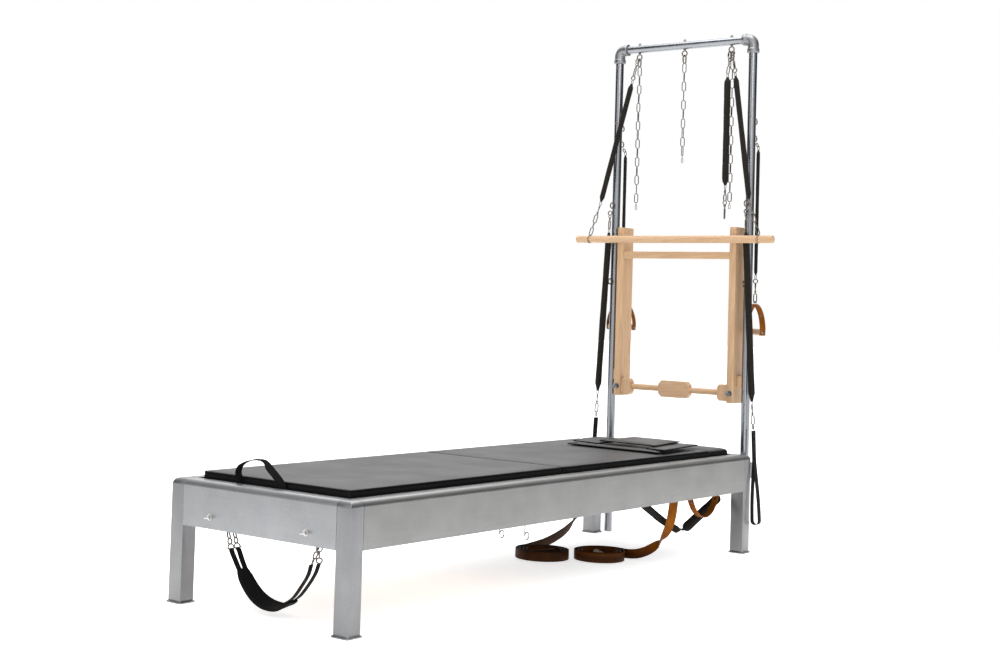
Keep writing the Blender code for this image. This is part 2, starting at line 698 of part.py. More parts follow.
def stored_springs():
    """Two sleeved springs joined by a hook, hanging in a V inside the right rail."""
    y = 0.103 - HALF_WIDTH
    points = [(1.585, 0.222), (1.630, 0.200), (1.735, 0.145), (1.835, 0.100)]
    points += [(1.862, 0.092), (1.880, 0.094), (1.900, 0.102), (2.000, 0.140)]
    points += [(2.010, 0.144), (2.130, 0.192), (2.145, 0.198)]
    radii = [0.006, 0.012, 0.010, 0.010, 0.004, 0.004, 0.012, 0.012, 0.017, 0.017, 0.008]
    tube("stored_springs", [(FOOT_X + x, y, z) for x, z in points], radii, webbing())


def build():
    clear_scene()
    for make in (long_rails, end_rails, legs, gear_bar, tower_pipes, cross_pipe, elbows, pipe_clamps):
        make()
    for make in (sliding_frame, foot_rod, knobs, gliders, roll_down_set, thick_spring, chains):
        make()
    for make in (leg_springs, leg_straps, arm_springs, arm_handles, foot_sling, mats, flap_pad):
        make()
    for make in (carriage, carriage_springs, leather_straps, stored_springs):
        make()


build()
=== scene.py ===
import math

import bmesh
import bpy
import numpy as np
from mathutils import Matrix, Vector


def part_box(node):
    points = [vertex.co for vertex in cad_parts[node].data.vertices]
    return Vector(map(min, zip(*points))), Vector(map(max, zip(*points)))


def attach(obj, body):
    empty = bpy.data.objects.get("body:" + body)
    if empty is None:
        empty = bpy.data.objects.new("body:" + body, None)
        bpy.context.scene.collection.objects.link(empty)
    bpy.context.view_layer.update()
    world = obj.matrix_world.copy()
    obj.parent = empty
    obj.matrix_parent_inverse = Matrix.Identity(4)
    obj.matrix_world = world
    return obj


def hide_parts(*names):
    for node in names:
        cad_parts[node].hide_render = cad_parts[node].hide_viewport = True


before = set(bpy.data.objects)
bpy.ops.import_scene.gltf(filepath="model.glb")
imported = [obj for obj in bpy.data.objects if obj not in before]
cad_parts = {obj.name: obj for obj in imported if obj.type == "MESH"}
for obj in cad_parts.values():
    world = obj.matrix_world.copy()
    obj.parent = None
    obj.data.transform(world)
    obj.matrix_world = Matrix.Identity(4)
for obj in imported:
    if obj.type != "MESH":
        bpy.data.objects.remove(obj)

print("model loaded")
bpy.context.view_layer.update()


def low(node):
    return np.array(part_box(node)[0])


def high(node):
    return np.array(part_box(node)[1])


def middle(node):
    return (low(node) + high(node)) / 2


# places that the rest is measured from, all read from the model
legSize = 0.0508
seam = 0.0003
footX = low("long_rail_left")[0] - legSize - seam
headX = high("long_rail_left")[0] + legSize + seam
halfWidth = high("long_rail_left")[1]
railTop = high("long_rail_left")[2]
railBottom = low("long_rail_left")[2]
pipeX, pipeY = middle("elbow_left")[0], high("elbow_left")[1] - 0.0208
topEye = low("cross_pipe")[2] + 0.0131
sides = (("left", 1), ("right", -1))


# grids and outlines


def unit(v):
    return v / np.maximum(np.linalg.norm(v, axis=-1, keepdims=True), 1e-12)


def curveThrough(points, step):
    # Catmull-Rom: each span is a cubic whose end slopes are half the chord of its neighbours
    p = np.asarray(points, float)
    p = np.vstack([2 * p[0] - p[1], p, 2 * p[-1] - p[-2]])
    spans = []
    for a, b, c, d in zip(p, p[1:], p[2:], p[3:]):
        t = np.arange(0, 1, 1 / max(1, round(np.linalg.norm(c - b) / step)))[:, None]
        cubic = (2 * a - 5 * b + 4 * c - d) * t**2 + (3 * b - 3 * c + d - a) * t**3
        spans.append(b + 0.5 * ((c - a) * t + cubic))
    return np.vstack([*spans, p[-2]])


def alongPath(path, closed=False):
    # unit tangents from the neighbours on both sides
    if closed:
        return unit(np.roll(path, -1, axis=0) - np.roll(path, 1, axis=0))
    return unit(np.gradient(path, axis=0))


def sweep(path, outline, across, closed=False, caps=True, mat=0, scale=None):
    # every outline point rides along the path: path + x * side + y * normal, times the row's scale
    path = np.asarray(path, float)
    outline = np.asarray(outline, float)
    tangent = alongPath(path, closed)
    across = np.broadcast_to(np.asarray(across, float), path.shape)
    side = unit(across - (across * tangent).sum(1, keepdims=True) * tangent)
    normal = np.cross(tangent, side)
    grow = np.ones((len(path), 1, 1)) if scale is None else np.asarray(scale, float).reshape(-1, 1, 1)
    offset = outline[None, :, :1] * side[:, None] + outline[None, :, 1:] * normal[:, None]
    return dict(grid=path[:, None] + offset * grow, closed=closed, caps=caps, mat=mat)


def circle(radius, count=12):
    turn = np.arange(count) * 2 * math.pi / count
    return radius * np.stack([np.cos(turn), np.sin(turn)], 1)


def anySide(path):
    # the axis that the path runs along least, so that it can serve as the side
    spread = np.ptp(np.asarray(path, float), axis=0)
    return np.eye(3)[int(np.argmin(spread))]


def tube(path, radius, count=12, side=None, closed=False, caps=True, mat=0):
    # a circle carried along the path, with one radius or one for each row
    radius = np.broadcast_to(np.asarray(radius, float), (len(path),))
    side = anySide(path) if side is None else side
    return sweep(path, circle(1.0, count), side, closed, caps, mat, radius)


def roundedRect(width, height, radius, steps=4):
    # four quarter arcs, anticlockwise from the lower right
    w, h = width / 2 - radius, height / 2 - radius
    turn = np.linspace(0, math.pi / 2, steps + 1)
    arc = radius * np.stack([np.cos(turn), np.sin(turn)], 1)
    spins = [(1, 1, 0), (-1, 1, 1), (-1, -1, 2), (1, -1, 3)]
    parts = []
    for x, y, quarter in spins:
        c, s = math.cos(quarter * math.pi / 2), math.sin(quarter * math.pi / 2)
        parts.append(arc @ np.array([[c, s], [-s, c]]) + (x * w, y * h))
    return np.vstack(parts)


def ribbon(path, width, thick, across, mat=0, closed=False):
    # a flat band with soft edges
    return sweep(path, roundedRect(width, thick, thick * 0.45, 3), across, closed, True, mat)


def turned(profile, start, direction, count=32, mat=0, caps=True):
    # a profile of (distance along, radius) turned about a line
    profile = np.asarray(profile, float)
    direction = unit(np.asarray(direction, float))
    path = np.asarray(start, float) + profile[:, :1] * direction
    side = np.eye(3)[int(np.argmin(np.abs(direction)))]
    side = unit(side - (side @ direction) * direction)
    ring = circle(1.0, count)
    offset = ring[None, :, :1] * side + ring[None, :, 1:] * np.cross(direction, side)
    return dict(grid=path[:, None] + offset * profile[:, 1][:, None, None], closed=False, caps=caps, mat=mat)


def ringAt(centre, axis, radius, wire, mat=0, squash=1.0, long=None, count=28):
    # a ring of wire about an axis; squash stretches it along the direction called long
    axis = unit(np.asarray(axis, float))
    first = np.eye(3)[int(np.argmin(np.abs(axis)))] if long is None else np.asarray(long, float)
    first = unit(first - (first @ axis) * axis)
    second = np.cross(axis, first)
    turn = np.arange(count)[:, None] * 2 * math.pi / count
    path = centre + radius * (squash * np.cos(turn) * first + np.sin(turn) * second)
    return tube(path, wire, 8, axis, closed=True, mat=mat)


def linkBetween(start, end, width, wire, normal, mat=0):
    # a long round-ended link whose outer ends touch start and end
    start, end = np.asarray(start, float), np.asarray(end, float)
    run = unit(end - start)
    normal = unit(np.asarray(normal, float) - (np.asarray(normal, float) @ run) * run)
    cross = np.cross(normal, run)
    half = width / 2 - wire
    straight = max(np.linalg.norm(end - start) / 2 - wire - half, 0.0)
    turn = np.linspace(-math.pi / 2, math.pi / 2, 9)[:, None]
    upper = straight * run + half * (np.cos(turn) * run + np.sin(turn) * cross)
    path = (start + end) / 2 + np.vstack([upper, -upper])
    return tube(path, wire, 8, normal, closed=True, mat=mat)


def snapHook(start, end, normal, size=1.0, mat=0):
    # swivel eye, barrel, and a long hook closed by a thin gate
    start, end = np.asarray(start, float), np.asarray(end, float)
    run = unit(end - start)
    normal = unit(np.asarray(normal, float) - (np.asarray(normal, float) @ run) * run)
    cross = np.cross(normal, run)
    barrel = np.array([(0, 0.002), (0.001, 0.0042), (0.006, 0.0048), (0.008, 0.0034), (0.012, 0.0026)])
    hookTop = start + run * 0.024 * size
    return [
        ringAt(start + run * 0.0075 * size, cross, 0.0062 * size, 0.0017 * size, mat),
        turned(barrel * size, start + run * 0.013 * size, run, 14, mat),
        linkBetween(hookTop, end, 0.0175 * size, 0.0023 * size, normal, mat),
        turned(
            np.array([(0, 0.0016), (0.004, 0.0016), (0.005, 0.0026), (0.008, 0.0026), (0.009, 0.0016)])
            * size,
            hookTop + run * 0.006 * size + cross * 0.0064 * size,
            run,
            10,
            mat,
        ),
    ]


def blockRows(a, b, radius, step):
    # positions along one side of a block: close together where it rounds, step apart between
    corner = radius * (1 - np.cos(np.linspace(0, math.pi / 2, 5)))
    inner = np.linspace(a + radius, b - radius, max(2, round((b - a) / step) + 1))
    return np.unique(np.round(np.concatenate([a + corner, inner, b - corner]), 7))


def softBlock(lo, hi, radius, step=0.25):
    # six grids on a box; each point moves to its nearest inner point plus radius times the unit
    # offset from it
    lo, hi = np.asarray(lo, float), np.asarray(hi, float)
    rows = [blockRows(lo[k], hi[k], radius, step) for k in range(3)]
    patches = []
    for k in range(3):
        i, j = (k + 1) % 3, (k + 2) % 3
        u, v = np.meshgrid(rows[i], rows[j], indexing="ij")
        for value, flip in ((hi[k], False), (lo[k], True)):
            grid = np.zeros((*u.shape, 3))
            grid[..., i], grid[..., j], grid[..., k] = u, v, value
            inside = np.clip(grid, lo + radius, hi - radius)
            grid = inside + radius * unit(grid - inside)
            patches.append(dict(grid=grid[::-1] if flip else grid, flat=True, mat=0))
    return patches


# meshes


def gridFaces(rows, columns, closed, around):
    # quads of a grid, and the corner numbers before wrapping for the UV map
    i = np.arange(rows if closed else rows - 1)
    j = np.arange(columns if around else columns - 1)
    i, j = (x.ravel() for x in np.meshgrid(i, j, indexing="ij"))
    corners = [(i, j), (i, j + 1), (i + 1, j + 1), (i + 1, j)]
    quads = np.stack([(a % rows) * columns + b % columns for a, b in corners], 1)
    return quads, corners


def makePiece(name, patches, materials, body=None, stands=(), sharp=35, weld=False):
    points, faces, uvs, mats = [], [], [], []
    count = 0
    for patch in patches:
        grid = patch["grid"]
        rows, columns, _ = grid.shape
        around, closed = not patch.get("flat"), patch.get("closed", False)
        quads, corners = gridFaces(rows, columns, closed, around)
        along = np.linalg.norm(np.diff(grid, axis=0, append=grid[:1]), axis=2).mean(1)
        across = np.linalg.norm(np.diff(grid, axis=1, append=grid[:, :1]), axis=2).mean(0)
        u = np.concatenate([[0], np.cumsum(along)])
        v = np.concatenate([[0], np.cumsum(across)])
        uvs.append(np.stack([np.stack([u[a], v[b]], 1) for a, b in corners], 1).reshape(-1, 2))
        faces += (quads + count).tolist()
        if around and patch.get("caps", True) and not closed:
            faces += [list(range(count + columns - 1, count - 1, -1))]
            faces += [list(range(count + (rows - 1) * columns, count + rows * columns))]
            ring = np.stack([np.cos(np.arange(columns)), np.sin(np.arange(columns))], 1) * 0.001
            uvs.append(np.vstack([ring, ring]))
        mats += [patch.get("mat", 0)] * (len(faces) - len(mats))
        points.append(grid.reshape(-1, 3))
        count += rows * columns
    mesh = bpy.data.meshes.new(name)
    mesh.from_pydata(np.vstack(points).tolist(), [], faces)
    mesh.uv_layers.new(name="UVMap").uv.foreach_set("vector", np.vstack(uvs).astype(np.float32).ravel())
    mesh.polygons.foreach_set("material_index", np.array(mats, np.int32))
    bm = bmesh.new()
    bm.from_mesh(mesh)
    if weld:
        bmesh.ops.remove_doubles(bm, verts=bm.verts, dist=0.00002)
    bmesh.ops.recalc_face_normals(bm, faces=bm.faces)
    bm.to_mesh(mesh)
    bm.free()
    mesh.shade_smooth()
    mesh.set_sharp_from_angle(angle=math.radians(sharp))
    piece = bpy.data.objects.new(name, mesh)
    bpy.context.scene.collection.objects.link(piece)
    for material in materials:
        mesh.materials.append(material)
    if body:
        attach(piece, body)
    if stands:
        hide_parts(*stands)
    return piece


# materials


class Finish:
    # a node tree with short ways to add what the finishes share
    def __init__(self, name, color, roughness, metallic=0.0, **sockets):
        self.material = bpy.data.materials.new(name)
        self.material.use_nodes = True
        self.nodes, self.links = self.material.node_tree.nodes, self.material.node_tree.links
        self.shader = self.nodes["Principled BSDF"]
        self.shader.inputs["Base Color"].default_value = (*color, 1)
        self.shader.inputs["Roughness"].default_value = roughness
        self.shader.inputs["Metallic"].default_value = metallic
        for socket, value in sockets.items():
            self.shader.inputs[socket.replace("_", " ")].default_value = value
        self.coords = self.nodes.new("ShaderNodeTexCoord")
        self.height = None

    def mapped(self, scale, output="Object"):
        node = self.nodes.new("ShaderNodeMapping")
        node.inputs["Scale"].default_value = scale
        self.links.new(self.coords.outputs[output], node.inputs["Vector"])
        return node.outputs["Vector"]

    def noise(self, vector, scale, detail=3.0, rough=0.55):
        node = self.nodes.new("ShaderNodeTexNoise")
        node.inputs["Scale"].default_value = scale
        node.inputs["Detail"].default_value = detail
        node.inputs["Roughness"].default_value = rough
        self.links.new(vector, node.inputs["Vector"])
        return node.outputs["Fac"]

    def cells(self, vector, scale):
        node = self.nodes.new("ShaderNodeTexVoronoi")
        node.inputs["Scale"].default_value = scale
        self.links.new(vector, node.inputs["Vector"])
        return node.outputs["Distance"]

    def waves(self, vector, scale, direction="X", distortion=0.0):
        node = self.nodes.new("ShaderNodeTexWave")
        node.wave_profile = "SIN"
        node.bands_direction = direction
        node.inputs["Scale"].default_value = scale
        node.inputs["Distortion"].default_value = distortion
        self.links.new(vector, node.inputs["Vector"])
        return node.outputs["Fac"]

    def ramp(self, factor, *stops):
        node = self.nodes.new("ShaderNodeValToRGB")
        ramp = node.color_ramp
        while len(ramp.elements) < len(stops):
            ramp.elements.new(0.5)
        for element, (place, color) in zip(ramp.elements, stops):
            element.position = place
            element.color = (*color, 1) if len(color) == 3 else color
        self.links.new(factor, node.inputs["Fac"])
        return node.outputs["Color"]

    def span(self, factor, lowest, highest, start=0.3, end=0.7):
        node = self.nodes.new("ShaderNodeMapRange")
        for socket, value in zip(("From Min", "From Max", "To Min", "To Max"), (start, end, lowest, highest)):
            node.inputs[socket].default_value = value
        self.links.new(factor, node.inputs["Value"])
        return node.outputs["Result"]

    def math(self, kind, a, b):
        node = self.nodes.new("ShaderNodeMath")
        node.operation = kind
        for socket, value in zip(node.inputs, (a, b)):
            if isinstance(value, float):
                socket.default_value = value
            else:
                self.links.new(value, socket)
        return node.outputs["Value"]

    def mix(self, factor, a, b, kind="MIX"):
        node = self.nodes.new("ShaderNodeMix")
        node.data_type = "RGBA"
        node.blend_type = kind
        for socket, value in ((node.inputs["Factor"], factor), (node.inputs["A"], a), (node.inputs["B"], b)):
            if isinstance(value, (float, tuple)):
                socket.default_value = value
            else:
                self.links.new(value, socket)
        return node.outputs["Result"]

    def color(self, output):
        self.links.new(output, self.shader.inputs["Base Color"])

    def rough(self, output):
        self.links.new(output, self.shader.inputs["Roughness"])

    def bump(self, height, strength, distance):
        node = self.nodes.new("ShaderNodeBump")
        node.inputs["Strength"].default_value = strength
        node.inputs["Distance"].default_value = distance
        self.links.new(height, node.inputs["Height"])
        if self.height is not None:
            self.links.new(self.height, node.inputs["Normal"])
        self.height = node.outputs["Normal"]
        self.links.new(self.height, self.shader.inputs["Normal"])


def brushedAluminium(name, grain, tone=(0.265, 0.265, 0.262)):
    # satin metal: cloudy tone, fine speckle, and faint brushing along the long direction of grain
    f = Finish(name, tone, 0.36, 0.92)
    cloud = f.noise(f.mapped((1, 1, 1)), 9.0, 4.0)
    speckle = f.noise(f.mapped((1, 1, 1)), 420.0, 2.0)
    brush = f.noise(f.mapped(grain), 60.0, 3.0)
    light, dark = tuple(c * 1.16 for c in tone), tuple(c * 0.86 for c in tone)
    mixed = f.math("ADD", f.math("MULTIPLY", cloud, 0.45), f.math("MULTIPLY", speckle, 0.55))
    f.color(f.ramp(mixed, (0.34, dark), (0.52, tone), (0.7, light)))
    f.rough(f.span(f.math("MULTIPLY", f.math("ADD", speckle, brush), 0.5), 0.30, 0.46))
    f.bump(speckle, 0.10, 0.0002)
    f.bump(brush, 0.08, 0.0002)
    return f.material


def polishedSteel(name, tone, roughness):
    # bright plating with very faint smears
    f = Finish(name, tone, roughness, 1.0)
    smear = f.noise(f.mapped((3, 3, 0.6)), 8.0, 2.0)
    f.rough(f.span(smear, roughness * 0.85, roughness * 1.2))
    f.color(f.ramp(smear, (0.3, tuple(c * 0.93 for c in tone)), (0.7, tone)))
    return f.material


def castZinc():
    f = Finish("castZinc", (0.42, 0.43, 0.44), 0.42, 0.9)
    lumps = f.noise(f.mapped((1, 1, 1)), 260.0, 3.0)
    cloud = f.noise(f.mapped((1, 1, 1)), 40.0, 2.0)
    f.color(f.ramp(cloud, (0.3, (0.22, 0.225, 0.23)), (0.7, (0.30, 0.305, 0.315))))
    f.rough(f.span(lumps, 0.32, 0.5))
    f.bump(lumps, 0.05, 0.0003)
    return f.material


def beechWood(name, grain):
    # long pale figure, fine dark flecks along the grain, and a satin varnish
    f = Finish(name, (0.62, 0.41, 0.23), 0.42, Specular_IOR_Level=0.4)
    figure = f.noise(f.mapped(grain), 14.0, 5.0, 0.6)
    bands = f.waves(f.mapped(grain), 7.0, "DIAGONAL", 6.0)
    fleck = f.noise(f.mapped(tuple(g * 6 if g >= 1 else g * 3 for g in grain)), 60.0, 2.0)
    mixed = f.math("ADD", f.math("MULTIPLY", figure, 0.85), f.math("MULTIPLY", bands, 0.15))
    body = f.ramp(mixed, (0.2, (0.45, 0.275, 0.145)), (0.5, (0.55, 0.355, 0.205)), (0.8, (0.63, 0.425, 0.26)))
    dark = f.span(fleck, 0.55, 0.0, 0.28, 0.42)
    f.color(f.mix(dark, body, (0.40, 0.23, 0.11, 1)))
    f.rough(f.span(figure, 0.36, 0.5))
    f.bump(fleck, 0.07, 0.0003)
    return f.material


def upholsteryVinyl():
    # fine leather grain: small cells, soft creases, and a slightly worn sheen
    f = Finish("upholsteryVinyl", (0.018, 0.018, 0.019), 0.44, Specular_IOR_Level=0.42)
    grain = f.cells(f.mapped((1, 1, 1)), 620.0)
    crease = f.noise(f.mapped((1, 1, 1)), 160.0, 4.0)
    wear = f.noise(f.mapped((1, 1, 1)), 7.0, 4.0)
    f.color(f.ramp(wear, (0.3, (0.017, 0.017, 0.019)), (0.7, (0.022, 0.022, 0.024))))
    f.rough(f.span(wear, 0.40, 0.50))
    f.bump(grain, 0.12, 0.0003)
    f.bump(crease, 0.10, 0.0004)
    return f.material


def wovenBlack(name, tone, cross=520.0, along=300.0, strength=0.5):
    # herringbone-like weave on the strap's own map: ribs along it, crossed by fine picks
    f = Finish(name, tone, 0.85, Sheen_Weight=0.04, Sheen_Roughness=0.5, Specular_IOR_Level=0.10)
    uv = f.mapped((1, 1, 1), "UV")
    ribs = f.waves(uv, along / 6.3, "Y", 0.4)
    picks = f.waves(uv, cross / 6.3, "DIAGONAL", 0.6)
    fuzz = f.noise(uv, 900.0, 2.0)
    weave = f.math("MULTIPLY", ribs, picks)
    light, dark = tuple(c * 2.2 for c in tone), tuple(c * 0.5 for c in tone)
    mixed = f.math("ADD", f.math("MULTIPLY", weave, 0.7), f.math("MULTIPLY", fuzz, 0.3))
    f.color(f.ramp(mixed, (0.1, dark), (0.75, light)))
    f.bump(weave, strength, 0.0005)
    f.bump(fuzz, 0.2, 0.0002)
    return f.material


def tanLeather(name, light, dark, low=None):
    # saddle leather: cloudy dye, fine pores, and darker burnished patches; low is a painted shade near the
    # floor, the tone the leather takes there
    f = Finish(name, light, 0.56, Specular_IOR_Level=0.08)
    dye = f.noise(f.mapped((1, 1, 1)), 18.0, 5.0)
    pores = f.cells(f.mapped((1, 1, 1)), 700.0)
    creases = f.noise(f.mapped((1, 1, 1)), 220.0, 4.0)
    middle = tuple((a + b) / 2 for a, b in zip(light, dark))
    tone = f.ramp(dye, (0.28, dark), (0.5, middle), (0.72, light))
    # darker towards the floor by height: painted shade
    if low:
        split = f.nodes.new("ShaderNodeSeparateXYZ")
        f.links.new(f.coords.outputs["Object"], split.inputs["Vector"])
        tone = f.mix(f.span(split.outputs["Z"], 0.0, 1.0, 0.02, 0.07), (*low, 1), tone)
    f.color(tone)
    f.rough(f.span(creases, 0.38, 0.58))
    f.bump(pores, 0.16, 0.0003)
    f.bump(creases, 0.14, 0.0004)
    return f.material


def mouldedNylon():
    f = Finish("mouldedNylon", (0.02, 0.02, 0.021), 0.36)
    texture = f.noise(f.mapped((1, 1, 1)), 380.0, 3.0)
    f.rough(f.span(texture, 0.28, 0.46))
    f.color(f.ramp(texture, (0.3, (0.014, 0.014, 0.015)), (0.7, (0.03, 0.03, 0.031))))
    f.bump(texture, 0.15, 0.0003)
    return f.material


aluminiumX = brushedAluminium("aluminiumAlongX", (0.12, 4, 4))
aluminiumY = brushedAluminium("aluminiumAlongY", (4, 0.12, 4), (0.33, 0.335, 0.345))
aluminiumZ = brushedAluminium("aluminiumAlongZ", (4, 4, 0.12), (0.262, 0.264, 0.27))
pipeChrome = polishedSteel("pipeChrome", (0.30, 0.31, 0.33), 0.22)
hookNickel = polishedSteel("hookNickel", (0.17, 0.150, 0.13), 0.2)
chainZinc = polishedSteel("chainZinc", (0.14, 0.14, 0.14), 0.2)
elbowZinc = castZinc()
beechZ = beechWood("beechAlongZ", (6, 6, 0.5))
beechY = beechWood("beechAlongY", (6, 0.5, 6))
beechX = beechWood("beechAlongX", (0.5, 6, 6))
vinyl = upholsteryVinyl()
webbing = wovenBlack("blackWebbing", (0.0045, 0.0045, 0.0047))
sleeve = wovenBlack("springSleeve", (0.0150, 0.0128, 0.0108), 700.0, 520.0, 0.35)
leatherOrange = tanLeather("saddleLeather", (0.27, 0.082, 0.004), (0.12, 0.033, 0.002))
leatherDark = tanLeather("coiledLeather", (0.066, 0.021, 0.002), (0.026, 0.0075, 0.001))
# the running strap's leather, with a painted shade that darkens it towards the floor
leatherRunFloorShade = tanLeather("runningLeather", (0.27, 0.082, 0.004), (0.12, 0.033, 0.002), (0.042, 0.012, 0.0015))
nylon = mouldedNylon()
print("finishes ready")


# camera, light and floor
view = dict(
    place=(-3.0752, -3.1122, 0.8885),
    yaw=39.169,
    pitch=2.559,
    roll=1.779,
    lens=56.70,
    shift=(0.0628, -0.1038),
)


def aimCamera():
    yaw, pitch, roll = (math.radians(view[k]) for k in ("yaw", "pitch", "roll"))
    forward = np.array([math.cos(yaw) * math.cos(pitch), math.sin(yaw) * math.cos(pitch), math.sin(pitch)])
    flat = np.array([math.sin(yaw), -math.cos(yaw), 0.0])
    rise = np.cross(flat, forward)
    right = math.cos(roll) * flat + math.sin(roll) * rise
    upward = math.cos(roll) * rise - math.sin(roll) * flat
    data = bpy.data.cameras.new("camera")
    data.lens, data.sensor_width = view["lens"], 36.0
    data.shift_x, data.shift_y = view["shift"]
    data.clip_end = 100.0
    camera = bpy.data.objects.new("camera", data)
    bpy.context.scene.collection.objects.link(camera)
    place = np.array(view["place"]) + (footX, 0, 0)
    matrix = np.eye(4)
    matrix[:3, 0], matrix[:3, 1], matrix[:3, 2], matrix[:3, 3] = right, upward, -forward, place
    camera.matrix_world = Matrix(matrix.tolist())
    bpy.context.scene.camera = camera


def softLight(name, place, target, size, power):
    data = bpy.data.lights.new(name, "AREA")
    data.shape = "RECTANGLE"
    data.size, data.size_y = size
    data.energy = power
    lamp = bpy.data.objects.new(name, data)
    bpy.context.scene.collection.objects.link(lamp)
    back = unit(np.array(place, float) - np.array(target, float))
    side = unit(np.cross((0, 0, 1), back))
    matrix = np.eye(4)
    matrix[:3, 0], matrix[:3, 1], matrix[:3, 2], matrix[:3, 3] = side, np.cross(back, side), back, place
    lamp.matrix_world = Matrix(matrix.tolist())


def studio():
    # a white surround, dark only to both sides of the long view so that round metal shows bands
    world = bpy.data.worlds.new("studio")
    world.use_nodes = True
    nodes, links = world.node_tree.nodes, world.node_tree.links
    coords = nodes.new("ShaderNodeTexCoord")
    facing = nodes.new("ShaderNodeVectorMath")
    facing.operation = "DOT_PRODUCT"
    facing.inputs[1].default_value = (-math.sin(math.radians(39)), math.cos(math.radians(39)), 0)
    size = nodes.new("ShaderNodeMath")
    size.operation = "ABSOLUTE"
    shade = nodes.new("ShaderNodeValToRGB")
    for element, (place, tone) in zip(shade.color_ramp.elements, ((0.50, 1.0), (0.90, 0.05))):
        element.position = place
        element.color = (tone, tone, tone, 1)
    links.new(coords.outputs["Generated"], facing.inputs[0])
    links.new(facing.outputs["Value"], size.inputs[0])
    links.new(size.outputs["Value"], shade.inputs["Fac"])
    links.new(shade.outputs["Color"], nodes["Background"].inputs["Color"])
    nodes["Background"].inputs["Strength"].default_value = 1.0
    bpy.context.scene.world = world
    bpy.context.scene.view_settings.view_transform = "Standard"
    softLight("keyPanel", (-3.2, -3.0, 3.4), (0.2, 0, 0.5), (2.4, 2.4), 50)
    softLight("fillPanel", (-4.6, 1.8, 2.2), (0, 0, 0.4), (2.0, 2.0), 18)
    softLight("topPanel", (0.2, 0.2, 4.2), (0, 0, 0), (3.0, 2.0), 70)
    softLight("backPanel", (2.6, 2.4, 4.4), (-0.4, -0.2, 0.3), (5.0, 4.0), 85)
    bpy.ops.mesh.primitive_plane_add(size=60, location=(0, 0, -0.0004))
    floor = bpy.context.object
    floor.name = "studioFloor"
    f = Finish("paleFloor", (0.93, 0.93, 0.93), 0.85, Specular_IOR_Level=0.1, Emission_Color=(1, 1, 1, 1))
    f.shader.inputs["Emission Strength"].default_value = 0.68
    f.rough(f.span(f.noise(f.mapped((1, 1, 1)), 3.0), 0.8, 0.9))
    floor.data.materials.append(f.material)


aimCamera()
studio()
print("camera and light placed")


# leather straps: each hangs from under the rail ledge and is wound on edge on the floor
straps = dict(
    width=0.033,
    thick=0.0030,
    pitch=0.0122,
    turns=3.2,
    start=0.0952,
    edgeHeight=0.0195,
    right=dict(
        centre=(1.605, -0.078),
        route=[
            (1.730, -0.296, 0.238), (1.728, -0.294, 0.200), (1.722, -0.289, 0.150),
            (1.714, -0.277, 0.108), (1.706, -0.254, 0.072), (1.697, -0.222, 0.045),
            (1.690, -0.185, 0.028), (1.689, -0.150, 0.0215), (1.6952, -0.1200, 0.0195),
        ],
    ),
    left=dict(
        centre=(1.473, 0.072),
        route=[
            (2.050, 0.286, 0.238), (2.040, 0.278, 0.205), (1.990, 0.250, 0.150),
            (1.900, 0.215, 0.099), (1.780, 0.190, 0.056), (1.650, 0.178, 0.030),
            (1.540, 0.174, 0.0205), (1.4915, 0.1695, 0.0195),
        ],
    ),
)


def woundStrap(side):
    # the free run, then a spiral that loses one pitch of radius each turn
    own = straps[side]
    run = curveThrough([(footX + x, y, z) for x, y, z in own["route"]], 0.012)
    centre = np.array([footX + own["centre"][0], own["centre"][1]])
    offset = run[-1, :2] - centre
    first, reach = math.atan2(offset[1], offset[0]), np.linalg.norm(offset)
    turn = np.linspace(0, 2 * math.pi * straps["turns"], round(straps["turns"] * 48))[1:]
    settle = (reach - straps["start"]) * np.exp(-turn * 1.6)
    radius = straps["start"] + settle - straps["pitch"] * turn / (2 * math.pi)
    loose = 1 + 0.012 * np.sin(2 * turn + 0.7)
    angle = first + turn
    spiral = np.column_stack([
        centre[0] + radius * loose * np.cos(angle),
        centre[1] + radius * loose * np.sin(angle),
        np.full(len(angle), straps["edgeHeight"]),
    ])
    path = np.vstack([run, spiral])
    # the width lies level under the rail and stands upright by the time the strap reaches the floor
    share = np.clip(np.arange(len(path)) / (len(run) * 0.95), 0, 1)[:, None]
    share = share**2 * (3 - 2 * share)
    level = (0.80, -0.60, 0.0) if side == "right" else (1.0, 0.0, 0.0)
    across = (1 - share) * level + share * (0, 0, 1)
    return path, across


def leatherStrap(side):
    path, across = woundStrap(side)
    look = leatherRunFloorShade if side == "right" else leatherDark
    piece = makePiece(
        f"leatherStrap_{side}", [ribbon(path, straps["width"], straps["thick"], across)], [look, leatherDark],
        "frame", (f"strap_{side}", f"strap_coil_{side}"),
    )
    return piece, path


def gripOnCoil(side):
    # a turned wooden grip with a steel ring at each end, put away inside the wound strap
    own = straps[side]
    centre = np.array([footX + own["centre"][0], own["centre"][1], 0.0175])
    rightward = (math.cos(0.9), math.sin(0.9), 0.0)
    heading = unit(np.array(rightward if side == "right" else (0.95, -0.3, 0.0)))
    length, radius = 0.094, 0.0135
    start = centre - heading * length / 2
    profile = [(0, 0.009), (0.001, 0.0122), (0.004, radius), (length / 2, radius * 1.06)]
    profile += [(length - 0.004, radius), (length - 0.001, 0.0122), (length, 0.009)]
    patches = [turned(profile, start, heading, 28, 0)]
    for end in (start - heading * 0.001, start + heading * (length + 0.001)):
        patches.append(ringAt(end + (0, 0, 0.004), heading, 0.0095, 0.0018, 1))
    sideways = np.cross(heading, (0, 0, 1))
    bow = np.linspace(0, 1, 24)[:, None]
    away = sideways * (0.020 + 0.012 * np.sin(math.pi * bow))
    line = start + heading * length * bow + away + (0, 0, 0.0005)
    patches.append(ribbon(line, 0.022, 0.0028, (0, 0, 1), 2))
    for end in (line[3], line[-4]):
        patches.append(ringAt(end + sideways * 0.004, (0, 0, 1), 0.006, 0.0015, 1))
    look = beechX if side == "right" else leatherDark
    return makePiece(f"coilGrip_{side}", patches, [look, hookNickel, leatherDark], "frame")


